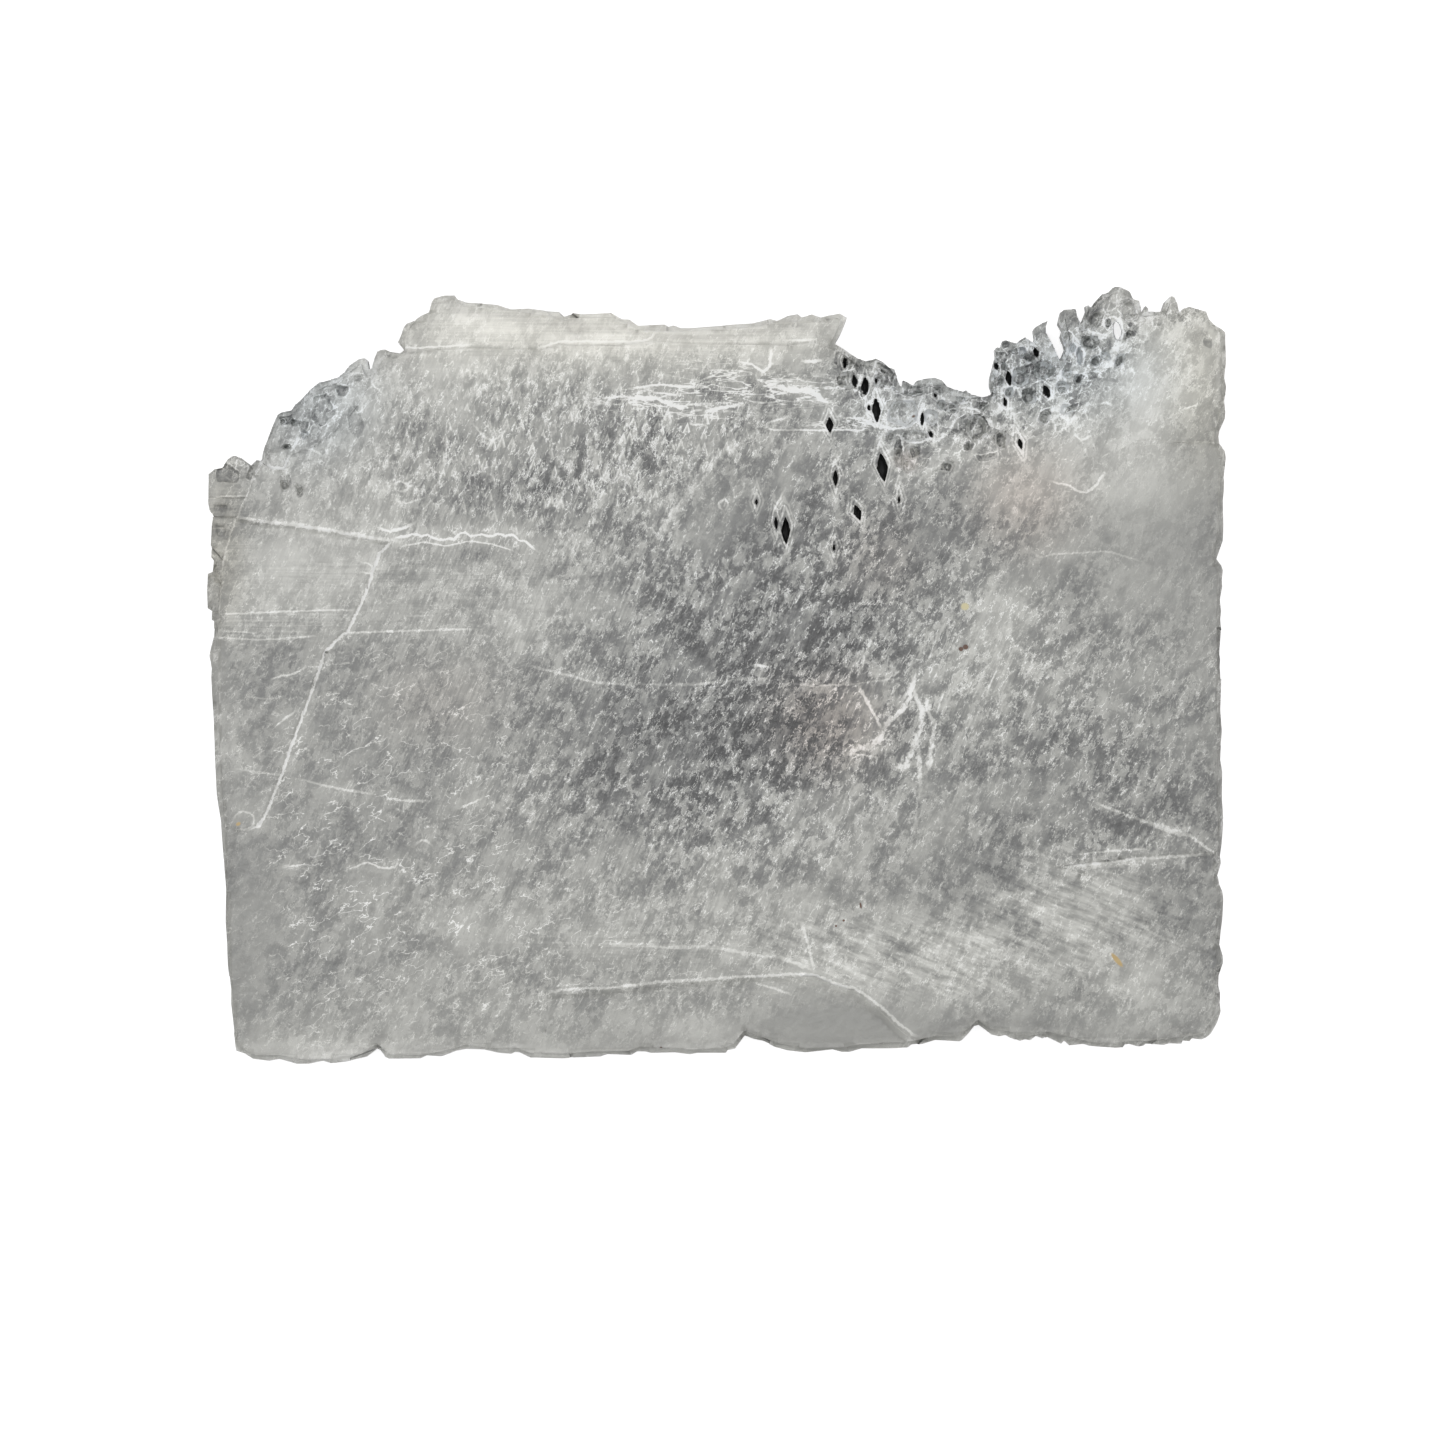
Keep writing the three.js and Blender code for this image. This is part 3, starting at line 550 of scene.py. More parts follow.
# %% Cracks, each with its half width in squares, its brightness and its route
CRACKS = {
    "long ledge": (1.7, 0.24, [
        (392.5, 540), (388, 544.7), (379, 554), (373, 570.7), (366, 592), (357.5, 611), (347, 632),
        (336, 640), (324.5, 653), (320, 667), (308, 700.5), (297.4, 729), (290, 749), (281, 776),
        (268, 809), (259, 826), (250, 828)]),
    "soft ledge": (2.4, 0.15, [
        (238, 517), (262, 522), (290, 524), (345, 533), (385, 540), (398, 541)]),
    "torn line": (1.5, 0.32, [
        (379, 528), (390.6, 532), (403.5, 528), (412, 524)]),
    "torn line, lower part": (0.7, 0.20, [
        (404, 546), (424, 542), (446, 546), (470, 541), (492, 544), (514, 551)]),
    "torn line, right part": (1.0, 0.34, [
        (395, 538.5), (401, 536), (407, 537), (414, 533), (420, 537), (426, 534), (433, 537.5),
        (440, 540.5), (447, 538), (454, 540), (459, 534), (465, 532), (471, 536.5), (480, 534),
        (490, 537), (499, 533.5), (505, 536), (513, 534.5), (519, 540), (525, 541), (534.5, 549)]),
    "block end": (2.2, 0.13, [(262, 455), (247, 492), (230, 532), (220, 570)]),
    "shelf corner": (1.4, 0.25, [(266, 461), (270, 467), (283, 468), (286, 462), (291, 452)]),
    "left level 1": (0.9, 0.14, [(221, 614), (273, 612), (322, 610), (355, 610)]),
    "left level 2": (0.8, 0.14, [(225, 631), (256, 633)]),
    "left level 3": (1.0, 0.14, [(214, 637), (261, 640), (315, 636)]),
    "middle level 1": (1.0, 0.14, [(347, 632.7), (402, 631), (440, 629.7), (473, 629)]),
    "middle level 2": (0.9, 0.10, [(407, 616), (431, 615.5)]),
    "low left 1": (0.9, 0.10, [(237, 769), (284, 776)]),
    "low left 2": (1.2, 0.14, [(300, 779), (321, 785), (350, 790.6), (372, 794)]),
    "low left 3": (1.3, 0.16, [(386, 798), (405, 801), (428, 801)]),
    "middle line": (1.5, 0.13, [
        (530, 666), (540, 668.6), (570, 675.5), (597, 683), (632, 684), (669, 685), (701, 684),
        (724, 681), (747, 679.6), (772, 679)]),
    "middle line, right part": (0.9, 0.12, [
        (788, 683.5), (815.5, 686), (850, 684.6), (875, 681), (905, 678)]),
    "dash": (1.4, 0.45, [(753.5, 665), (768.4, 666.7)]),
    "web 1": (1.8, 0.22, [(877.5, 627), (866, 652.5), (858, 675.5)]),
    "web 2": (1.8, 0.28, [(860, 689), (868, 703), (882, 729.4)]),
    "web 3": (4.0, 0.26, [(882, 729.4), (880, 740), (870.6, 746.6), (850, 749)]),
    "web 4": (1.0, 0.22, [(850, 753.5), (877.5, 757)]),
    "web 5": (2.8, 0.26, [
        (882, 729), (893.7, 717), (905, 707.6), (912, 689), (914.4, 673)]),
    "web 6": (3.0, 0.26, [
        (912, 689), (922.5, 710), (921, 730.6), (916.7, 735), (912, 751), (905, 769.6), (894, 764)]),
    "web 7": (2.8, 0.24, [
        (926, 698), (929, 714.5), (935, 723.7), (931, 746.6), (929, 769.6)]),
    "web 8": (2.6, 0.20, [(916.7, 737), (920, 769.6), (920, 787)]),
    "scratch 1": (0.9, 0.14, [(936, 638.7), (929, 659), (921, 668.6)]),
    "scratch 2": (0.8, 0.24, [(996, 669.7), (988, 690)]),
    "scratch 3": (0.8, 0.16, [(945, 689), (937, 712)]),
    "front ledge": (1.6, 0.15, [
        (550, 992), (570, 989), (609, 988), (643, 984), (669, 981), (701, 980), (735, 977),
        (770, 976), (792.5, 974), (815.5, 975), (836, 984), (854.5, 988), (868, 997),
        (884, 1009), (900, 1025), (917, 1036.5)]),
    "front ledge, inner": (1.2, 0.12, [(758, 984), (775, 989), (792, 995)]),
    "fan 1": (1.6, 0.14, [(802, 924), (809, 947), (814, 970)]),
    "fan 2": (2.2, 0.10, [
        (609, 943.5), (678, 947), (714.5, 947), (747, 954), (781, 958), (813, 970)]),
    "right level 1": (1.5, 0.17, [
        (1064, 867), (1110, 863), (1135, 859), (1167, 857), (1206, 854.6)]),
    "right level 2": (1.0, 0.14, [(1075, 854.6), (1110, 851), (1144, 849)]),
    "right wedge": (1.4, 0.15, [
        (1096, 803), (1121, 812.6), (1144, 821), (1165, 830), (1178.5, 835.6), (1187.6, 834),
        (1206, 847), (1217.5, 855)]),
    "right wedge blob": (3.4, 0.20, [(1148, 822), (1168, 829), (1181, 834), (1187, 828)]),
    "right level veil": (3.6, 0.09, [(1062, 868), (1110, 864.5), (1152, 859)]),
    "front right edge": (1.4, 0.09, [(1140, 925), (1160, 937), (1184, 946)]),
    "upper right level": (0.9, 0.04, [(1123, 441), (1170, 441), (1217, 442)]),
    "upper right dash": (1.0, 0.20, [(1184, 409), (1190, 407), (1198, 405)]),
    "upper right 1": (1.2, 0.17, [
        (1050, 481), (1070.6, 486), (1077.4, 492), (1087.8, 492), (1096, 485), (1104, 473)]),
    "upper right 2": (1.0, 0.14, [(1075, 434), (1082, 442), (1092, 434)]),
    "upper right 3": (1.0, 0.09, [
        (1031.5, 551.5), (1041, 558), (1052, 554), (1110, 551.5), (1139, 561)]),
    "back 1": (1.1, 0.38, [(605, 398), (623, 396.6)]),
    "back 2": (2.0, 0.42, [(628, 398), (655, 398), (678, 407), (683.5, 406.7)]),
    "back 3": (1.0, 0.30, [(634, 388), (659, 384.5), (698, 387.4)]),
    "back 4": (1.0, 0.30, [(652, 392), (678, 395)]),
    "back 5": (0.9, 0.22, [(701, 380), (717, 374), (724, 366)]),
    "back 6": (2.0, 0.42, [(706, 412), (724, 407), (742, 404.7)]),
    "back 7": (1.0, 0.28, [(690, 424), (704, 425)]),
    "back 8": (3.0, 0.45, [(774, 385.6), (788, 390), (811, 390), (825, 402)]),
    "back 9": (1.3, 0.28, [(740, 361.5), (753.5, 365), (763, 372), (770, 367), (771, 349)]),
    "back 10": (2.0, 0.42, [(806, 361), (820.6, 361)]),
    "back 11": (1.1, 0.20, [(763, 425), (776.5, 420), (789, 417)]),
    "back 12": (0.9, 0.18, [(763, 427), (774, 430), (838.5, 430), (870.6, 430)]),
    "back 13": (1.4, 0.30, [(848, 418), (861, 418), (875, 426), (900, 429)]),
    "back 14": (1.2, 0.30, [
        (876, 422), (889, 429), (903, 428), (910, 425), (917, 420), (920, 412)]),
    "back 15": (1.1, 0.26, [
        (891, 437), (897, 434), (905, 439), (913, 442), (921, 442.5), (930, 438), (932, 431)]),
    "back 16": (1.0, 0.24, [(960, 407), (975, 409), (983, 414)]),
    "pale wedge": (5.0, 0.10, [
        (760, 429), (735, 445), (708, 464), (689, 493.5), (675.5, 510), (664, 526), (657, 544)]),
    "ledge line 1": (1.0, 0.16, [
        (403, 347), (415, 347.5), (430, 346.5), (450, 345.5), (470, 344.5)]),
    "ledge line 2": (1.1, 0.15, [
        (540, 347), (560, 341), (600, 341), (620, 341.5), (640, 341), (652, 338), (655, 332)]),
    "ledge line 3": (1.1, 0.14, [(790, 340), (814, 339)]),
    "crown wall 1": (0.9, 0.20, [
        (1029, 362), (1031, 372), (1027, 381), (1019, 387), (1011, 388), (1005, 385)]),
    "crown wall 2": (0.9, 0.22, [(1071, 332.5), (1080, 342.5), (1085, 354), (1083, 366)]),
    "crown wall 3": (1.0, 0.18, [(1086, 331), (1100, 334), (1111, 336)]),
    "crown wall 4": (0.9, 0.25, [(1105, 321), (1112, 316), (1120, 320), (1124, 333), (1121, 342)]),
    "crown wall 5": (1.6, 0.14, [(1097, 366), (1105, 355), (1118, 347), (1131, 340)]),
    "crown wall 6": (1.6, 0.14, [(1094, 406), (1105, 402), (1115, 406)]),
    "crown wall 7": (1.2, 0.16, [(1062, 330), (1062, 345), (1066, 362), (1059, 376)]),
    "comb arc": (1.1, 0.20, [(950, 430), (955, 420), (960, 410)]),
    "comb arc, right part": (1.2, 0.16, [(985, 416), (992, 423), (993, 436)]),
    "window 1": (1.2, 0.13, [(293, 433), (298, 438), (287, 458)]),
    "window 2": (1.0, 0.10, [(303, 448), (312, 449), (322, 456), (328, 457)]),
    "window 3": (0.9, 0.12, [(331, 438), (327, 452)]),
    "window 4": (0.9, 0.14, [(350, 403), (357, 413), (362, 411), (362, 404)]),
    "window 5": (0.9, 0.12, [(383, 394), (373, 385), (369, 375)]),
    "block line 1": (1.2, 0.14, [(207, 497), (220, 496), (244, 495)]),
    "block line 2": (0.9, 0.16, [(213, 528), (226, 527.5)]),
    "flame crack": (1.0, 0.15, [(474, 425), (481, 434), (490, 441), (500, 437), (508, 427)]),
    "loops 1": (0.9, 0.16, [(392, 484), (401, 481), (410, 486), (404, 493), (396, 490)]),
    "loops 2": (0.9, 0.14, [(398, 501), (408, 504), (418, 499)]),
    "left fleck 1": (1.1, 0.20, [(278, 724), (288, 716), (296, 711)]),
    "left fleck 2": (1.0, 0.20, [(270, 680), (280, 676), (294, 674), (304, 668)]),
    "left fleck 3": (0.9, 0.14, [(250, 697), (268, 699)]),
    "left fleck 4": (1.1, 0.22, [(460, 808), (470, 804), (480, 799)]),
    "left fleck 5": (1.0, 0.20, [(352, 868), (368, 862), (380, 868), (396, 868), (398, 860)]),
    "left fleck 6": (1.2, 0.20, [(284, 867), (304, 865)]),
    "left fleck 7": (1.0, 0.16, [(415, 845), (424, 838), (432, 846)]),
    "small frame": (0.8, 0.14, [(362, 562), (372, 564), (371, 574), (361, 572)]),
    "small ring": (0.9, 0.22, [
        (723, 510), (718, 506), (719, 501), (724, 499), (729, 503), (727, 509)]),
    "small oval": (0.9, 0.10, [
        (741, 479), (745, 485), (742, 494), (736, 499), (733, 493), (737, 484)]),
    "scratch over a pit": (0.8, 0.22, [(783, 492), (773, 513)]),
    "ring 1": (0.9, 0.13, [
        (233, 820), (236, 813), (245, 811), (253, 815), (254, 824), (246, 830), (236, 829)]),
}

# %% Signed distance to every crack
NEAR_FULL = 5.5
NEAR_GONE = 11.0
LAYER_REACH = 13.5
END_FADE = 4.0
TAPER = 7.0
THIN_END = 0.35


def fade(value, start, end):
    """1 before start, 0 after end, smooth between."""
    share = np.clip((value - start) / (end - start), 0, 1)
    return 1 - share * share * (3 - 2 * share)


def along_route(x, y, route):
    """For each point, its signed distance to a route, how far along it lies, how far past an end,
    and its plain distance. Last comes the length of the route."""
    best = np.full(len(x), np.inf)
    side, along, past = np.zeros(len(x)), np.zeros(len(x)), np.zeros(len(x))
    walked = 0.0
    last = len(route) - 2
    for index, ((ax, ay), (bx, by)) in enumerate(zip(route, route[1:])):
        length = math.hypot(bx - ax, by - ay)
        ux, uy = (bx - ax) / length, (by - ay) / length
        forward = (x - ax) * ux + (y - ay) * uy
        across = (x - ax) * uy - (y - ay) * ux
        held = np.clip(forward, 0, length)
        far = np.hypot(across, forward - held)
        over = np.zeros(len(x))
        if index == 0:
            over = np.maximum(over, -forward)
        if index == last:
            over = np.maximum(over, forward - length)
        closer = far < best
        best = np.where(closer, far, best)
        signed = np.where(over > 0, across, np.sign(across) * far)
        side = np.where(closer, signed, side)
        along = np.where(closer, walked + held, along)
        past = np.where(closer, over, past)
        walked += length
    return side, along, past, best, walked


def crack_layers(x, y):
    """Packs the cracks into as few layers as keep neighbours apart.
    A layer holds side, light and width."""
    layers = []
    for half_width, light, route in CRACKS.values():
        side, along, past, far, length = along_route(x, y, route)
        inward = np.minimum(along, length - along) / min(TAPER, length / 2)
        taper = THIN_END + (1 - THIN_END) * np.clip(inward, 0, 1)
        near = fade(np.abs(side), NEAR_FULL, NEAR_GONE) * fade(past, 0, END_FADE) * taper
        near = np.where(far < NEAR_GONE + END_FADE, near, 0)
        taken = far < LAYER_REACH
        for layer in layers:
            if not (layer["taken"] & taken).any():
                break
        else:
            layer = {"taken": np.zeros(len(x), bool), "values": np.zeros((len(x), 3))}
            layers.append(layer)
        layer["taken"] |= taken
        layer["values"][taken] = np.stack(
            [side, near * light, np.full(len(x), half_width)], axis=1)[taken]
    return [layer["values"] for layer in layers]


# %% [markdown]
# ## Relief
# Cleavage faces look flat but never are: they step by a few hundredths of a millimetre and are
# etched along the fibres. The broken sides show the edges of the sheets. Noise displaces the
# vertices, always into the crystal, so the slab keeps its size. Thin flakes stand out from the
# sides, and two faces pushed towards each other there would cross, so thin crystal is pushed less.

# %% Read seeded noise in layers
noise.seed_set(11)

# Each wave: waves per millimetre along x, y and z, and the layer of noise that it is read in.
SHEETS = (0.10, 0.10, 1.5, 0)
SPLINTERS = (0.55, 0.55, 0.3, 9)
TERRACES = (0.05, 0.09, 0, 5)
SWAY_X = (0.25, 0.25, 0, 7)
SWAY_Y = (0.25, 0.25, 0, 17)
WIDE_CELLS = (0.22, 0.15, 0, 3)
SMALL_CELLS = (0.60, 0.42, 0, 23)


def wave(place, shape, sway=(0, 0)):
    """Noise from -1 to 1 at a place in millimetres."""
    along_x, along_y, along_z, layer = shape
    return noise.noise((
        place.x * along_x + sway[0], place.y * along_y + sway[1], place.z * along_z + layer))


# %% Walls between weathered cells
SWAY = 0.9
WIDE_SHARE = 0.78
WIDE_WALL = 0.24
WIDE_CURVE = 0.8
SMALL_WALL = 0.25


def melted(place):
    """0 on the thin walls between weathered cells, up to 1 in the cells. Walls wander."""
    sway = (SWAY * wave(place, SWAY_X), SWAY * wave(place, SWAY_Y))
    wide = min(1.0, abs(wave(place, WIDE_CELLS, sway)) / WIDE_WALL) ** WIDE_CURVE
    small = min(1.0, abs(wave(place, SMALL_CELLS, sway)) / SMALL_WALL)
    return WIDE_SHARE * wide + (1 - WIDE_SHARE) * small


# %% Push the surface in
SOLE_SKIN = 0.2 * MM
STEEP = 0.6
SIDE_SHEETS = 0.26 * MM
SPLINTER_SHARE = 0.35
ETCH = 0.10 * MM
ETCH_CALM = 0.7
ETCH_COS, ETCH_SIN = 0.92, 0.39
ETCH_ACROSS, ETCH_ALONG, ETCH_LAYER = 0.42, 0.16, 2.0
ETCH_ROUGH, ETCH_FINER, ETCH_OCTAVES = 0.7, 2.1, 3
STEP = 0.09 * MM
STEP_COUNT = 5
STEP_STEEP = 5
STEP_SHARE = 0.12
CELL_DEPTH = 0.28 * MM
LEAST_COMB = 0.05
FACET_DEPTH = 0.45 * MM
FACET_SINK = 6
FACET_BANK = 1.5
THIN = 1.0 * MM
THIN_SHARE = 0.3


def side_depth(place):
    """Edges of the sheets, and splinters, on a steep face."""
    sheets, splinters = wave(place, SHEETS), wave(place, SPLINTERS)
    return SIDE_SHEETS * (0.5 + 0.5 * sheets + SPLINTER_SHARE * splinters)


def face_depth(place, smooth, comb):
    """Etching along the fibres, cleavage steps and weathered cells, on a flat face."""
    across = place.x * ETCH_COS - place.y * ETCH_SIN
    along = place.x * ETCH_SIN + place.y * ETCH_COS
    etch = noise.fractal((across * ETCH_ACROSS, along * ETCH_ALONG, ETCH_LAYER),
                         ETCH_ROUGH, ETCH_FINER, ETCH_OCTAVES)
    terrace = wave(place, TERRACES) * STEP_COUNT
    level = math.floor(terrace) + min(1.0, (terrace - math.floor(terrace)) * STEP_STEEP)
    depth = ETCH * (0.5 + 0.5 * etch) * (1 - ETCH_CALM * smooth)
    depth += STEP * (0.5 + STEP_SHARE * level)
    if comb > LEAST_COMB:
        depth += CELL_DEPTH * min(1.0, comb) * melted(place)
    return depth


def held(tree, point, normal, depth):
    """The depth, or less where the crystal under the point is thin."""
    normal = Vector(normal)
    through = tree.ray_cast(Vector(point) - normal * EPS, -normal, THIN)[3]
    return depth if through is None else min(depth, THIN_SHARE * through)


def relief(tree, points, normals, zones):
    """How far each vertex moves in, in metres."""
    sunk = np.clip(-FACET_SINK * zones["facet_light"], 0, 1)
    sunk *= FACET_DEPTH * fade(zones["facet_edge"], -FACET_BANK, 0)
    depth = np.zeros(len(points))
    for index, (point, normal) in enumerate(zip(points, normals)):
        if point[2] < SOLE_SKIN:
            continue
        place = Vector(point) / MM
        if abs(normal[2]) < STEEP:
            depth[index] = side_depth(place)
        else:
            smooth, comb = zones["smooth"][index], zones["honeycomb"][index]
            depth[index] = face_depth(place, smooth, comb) + sunk[index]
    depth = np.maximum(depth, 0)
    return np.array([held(tree, *vertex) for vertex in zip(points, normals, depth)])


# %% Find the ridges, which the face finishes paint lighter as a painted highlight
TINY = 1e-9


def vectors_of(values, name, count):
    """Reads three numbers for each of a mesh's vertices, normals or faces."""
    read = np.zeros(count * 3)
    values.foreach_get(name, read)
    return read.reshape(-1, 3)


def ridges(mesh, points):
    """How far each vertex stands over its neighbours, as a share of how far they are."""
    count = len(points)
    normals = vectors_of(mesh.vertex_normals, "vector", count)
    ends = np.zeros(len(mesh.edges) * 2, np.int64)
    mesh.edges.foreach_get("vertices", ends)
    a, b = ends.reshape(-1, 2).T
    way = points[b] - points[a]
    length = np.linalg.norm(way, axis=1) + TINY
    rise, links = np.zeros(count), np.zeros(count)
    np.add.at(rise, a, -(way * normals[a]).sum(axis=1) / length)
    np.add.at(rise, b, (way * normals[b]).sum(axis=1) / length)
    np.add.at(links, a, 1)
    np.add.at(links, b, 1)
    return rise / np.maximum(links, 1)


# %% Lean the through hole outwards
# The eye stands over the slab's middle. A hole drilled straight down would show it a wall, but the
# real one follows fibres that lean, and light comes right through it.
HOLE_MIDDLE = (1117.3, 330.5)
HOLE_LEAN = 4.0
HOLE_FULL = 11.0
HOLE_GONE = 27.0


def leant(points):
    """The points, with those round the hole moved right and back, the more the lower they lie."""
    x, y = to_grid(points)
    near = fade(np.hypot(x - HOLE_MIDDLE[0], y - HOLE_MIDDLE[1]), HOLE_FULL, HOLE_GONE)
    shift = near * (1 - points[:, 2] / FACE_TOP) * HOLE_LEAN * SQUARE
    return points + shift[:, None] * np.array([1, 1, 0])


# %% Zones on the mesh that follow its shape
TERRACE_REACH = 12.0
SIDE_FULL, SIDE_GONE = 0.45, 0.8
LEDGE_FULL, LEDGE_GONE = 9.0 * MM, 10.0 * MM
LEDGE_LEVEL, LEDGE_STEEP = 0.6, 0.3
ZONE_MOST = 1.5
PIT_EDGE = 0.99
PIT_SLACK = 0.1 * MM
PIT_LIP = 0.15 * MM


def add_values(mesh, name, kind, domain, values):
    made = mesh.attributes.new(name, kind, domain)
    made.data.foreach_set("vector" if kind == "FLOAT_VECTOR" else "value",
                          np.ascontiguousarray(values, np.float32).ravel())


def zone_values(points, normals):
    """Every zone at every vertex, by name."""
    x, y = to_grid(points)
    zones = {name: np.clip(clouds(x, y, listed), 0, ZONE_MOST) for name, listed in ZONES.items()}
    zones["facet_edge"], zones["facet_light"] = facet_values(*ragged(x, y))
    zones["brightness"] = BRIGHTNESS_BASE + clouds(x, y, BRIGHTNESS.values())
    terraces = np.array([lozenge_distance(points, mouth) for mouth in mouths])
    zones["terrace"] = np.clip(terraces.min(axis=0), -TERRACE_REACH, TERRACE_REACH)
    # side: how steep a face is; the face finishes paint steep faces lighter against their shade
    zones["side"] = fade(np.abs(normals[:, 2]), SIDE_FULL, SIDE_GONE)
    # rim: low ledges that face up; the face finishes paint them lighter against the shade they lie in
    low = fade(points[:, 2], LEDGE_FULL, LEDGE_GONE)
    zones["rim"] = low * fade(-normals[:, 2], -LEDGE_LEVEL, -LEDGE_STEEP)
    return zones


def in_pits(middles):
    """1 for the faces inside a pit, between its floor and its lip, and 0 for the others."""
    inside = np.zeros(len(middles))
    height = middles[:, 2]
    deep = (height > PIT_FLOOR - PIT_SLACK) & (height < FACE_TOP - PIT_LIP)
    for mouth in mouths:
        inside[deep & (pit_share(middles, mouth) < PIT_EDGE)] = 1
    return inside


# %% Make the slab's mesh, with its relief and its zones
SHARP = math.radians(34)


def made_slab(bm):
    mesh = bpy.data.meshes.new("slab_crystal")
    tree = BVHTree.FromBMesh(bm)
    bm.to_mesh(mesh)
    bm.free()
    count = len(mesh.vertices)
    points = vectors_of(mesh.vertices, "co", count)
    normals = vectors_of(mesh.vertex_normals, "vector", count)
    zones = zone_values(points, normals)
    for name, values in zones.items():
        add_values(mesh, name, "FLOAT", "POINT", values)
    layers = crack_layers(*to_grid(points))
    for index, values in enumerate(layers):
        add_values(mesh, f"cracks_{index}", "FLOAT_VECTOR", "POINT", values)
    inside = in_pits(vectors_of(mesh.polygons, "center", len(mesh.polygons)))
    add_values(mesh, "pit", "FLOAT", "FACE", inside)

    depth = relief(tree, points, normals, zones)
    moved = leant(points) - normals * depth[:, None]
    mesh.vertices.foreach_set("co", moved.ravel())
    mesh.update()
    add_values(mesh, "ridge", "FLOAT", "POINT", ridges(mesh, moved))
    mesh.shade_smooth()
    mesh.set_sharp_from_angle(angle=SHARP)
    mesh.update()
    piece = bpy.data.objects.new("slab_crystal", mesh)
    bpy.context.collection.objects.link(piece)
    return piece, len(layers), int(inside.sum())


slab, crack_layer_count, pit_faces = made_slab(bm)
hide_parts(SLAB)
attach(slab, "root")
print("slab:", len(slab.data.polygons), "faces,", crack_layer_count, "layers of cracks,",
      pit_faces, "faces in pits")

# %% [markdown]
# ## Marks as node groups
# The marks inside selenite come in a few kinds, and each kind turns up in several places at its
# own size and angle. So each kind is a node group with named inputs. All of them work in grid
# squares on the object's own coordinates, so a mark 3 squares wide is 0.6 mm wide on the slab.

# %% A helper that adds and links nodes
class Sheet:
    """A node tree with one short call for each node."""

    def __init__(self, tree):
        self.tree = tree

    def fill(self, node, inputs):
        """Gives each named input a value, or links it to a socket."""
        for key, value in inputs.items():
            if isinstance(value, bpy.types.NodeSocket):
                self.tree.links.new(value, node.inputs[key])
            else:
                node.inputs[key].default_value = value

    def add(self, kind, inputs=None, out=0, **settings):
        node = self.tree.nodes.new(kind)
        for key, value in settings.items():
            setattr(node, key, value)
        self.fill(node, inputs or {})
        return node if out is None else node.outputs[out]

    def group(self, tree, **inputs):
        return self.add("ShaderNodeGroup", inputs, out=None, node_tree=tree).outputs

    def math(self, operation, *values, clamp=False):
        return self.add("ShaderNodeMath", dict(enumerate(values)), operation=operation,
                        use_clamp=clamp)

    def vector(self, operation, a, b=(0, 0, 0), out=0):
        return self.add("ShaderNodeVectorMath", {0: a, 1: b}, out=out, operation=operation)

    def parts(self, vector):
        """The X, Y and Z of a vector or a colour."""
        return self.add("ShaderNodeSeparateXYZ", {"Vector": vector}, out=None).outputs

    def plus(self, a, b):
        return self.math("ADD", a, b)

    def times(self, a, b):
        return self.math("MULTIPLY", a, b)

    def also(self, total, value, amount):
        """total + value * amount"""
        return self.math("MULTIPLY_ADD", value, amount, total)

    def span(self, value, low, high):
        """A smooth step from 0 at low to 1 at high."""
        return self.add("ShaderNodeMapRange", {
            "Value": value, "From Min": low, "From Max": high}, interpolation_type="SMOOTHSTEP")

    def zone(self, name):
        return self.add("ShaderNodeAttribute", attribute_name=name, out="Fac")

    def noise(self, vector, **inputs):
        inputs = {"Vector": vector, **{k.replace("_", " ").title(): v for k, v in inputs.items()}}
        return self.add("ShaderNodeTexNoise", inputs, noise_dimensions="2D")


def new_group(name, inputs, outputs):
    """An empty node group with float inputs, and 'Vector' as a vector."""
    tree = bpy.data.node_groups.new(name, "ShaderNodeTree")
    for label, value in inputs.items():
        kind = "NodeSocketVector" if label == "Vector" else "NodeSocketFloat"
        socket = tree.interface.new_socket(label, in_out="INPUT", socket_type=kind)
        if kind == "NodeSocketFloat":
            socket.default_value = value
    for label in outputs:
        tree.interface.new_socket(label, in_out="OUTPUT", socket_type="NodeSocketFloat")
    start = tree.nodes.new("NodeGroupInput")
    end = tree.nodes.new("NodeGroupOutput")
    return Sheet(tree), start.outputs, end.inputs


def turned(sheet, given):
    """Coordinates turned by Turn, then divided by Across and Along, so a mark is one unit."""
    turn = sheet.add("ShaderNodeCombineXYZ", {"Z": sheet.math("RADIANS", given["Turn"])})
    placed = sheet.add("ShaderNodeVectorRotate", {
        "Vector": given["Vector"], "Rotation": turn}, rotation_type="EULER_XYZ")
    size = sheet.add("ShaderNodeCombineXYZ", {
        "X": given["Along"], "Y": given["Across"], "Z": 1.0})
    return sheet.vector("DIVIDE", placed, size)


# %% Fibres: long streaks at one angle
def fibre_group():
    sheet, given, result = new_group(
        "Fibres", {"Vector": 0, "Turn": 0, "Along": 20, "Across": 2, "Rough": 0.6}, ["Value"])
    streak = sheet.noise(turned(sheet, given), scale=1.0, detail=2.0, roughness=given["Rough"])
    sheet.tree.links.new(sheet.math("SUBTRACT", streak, 0.5), result["Value"])
    return sheet.tree


# %% Flames: separate marks with a bright tip that fade on one side
FLAME_JITTER = 0.9
FLAME_LEAST = 0.3
FLAME_TIP, FLAME_SLANT = 0.30, 1.3
FLAME_START, FLAME_FADE = (-0.02, 0.10), (0.75, 0.05)


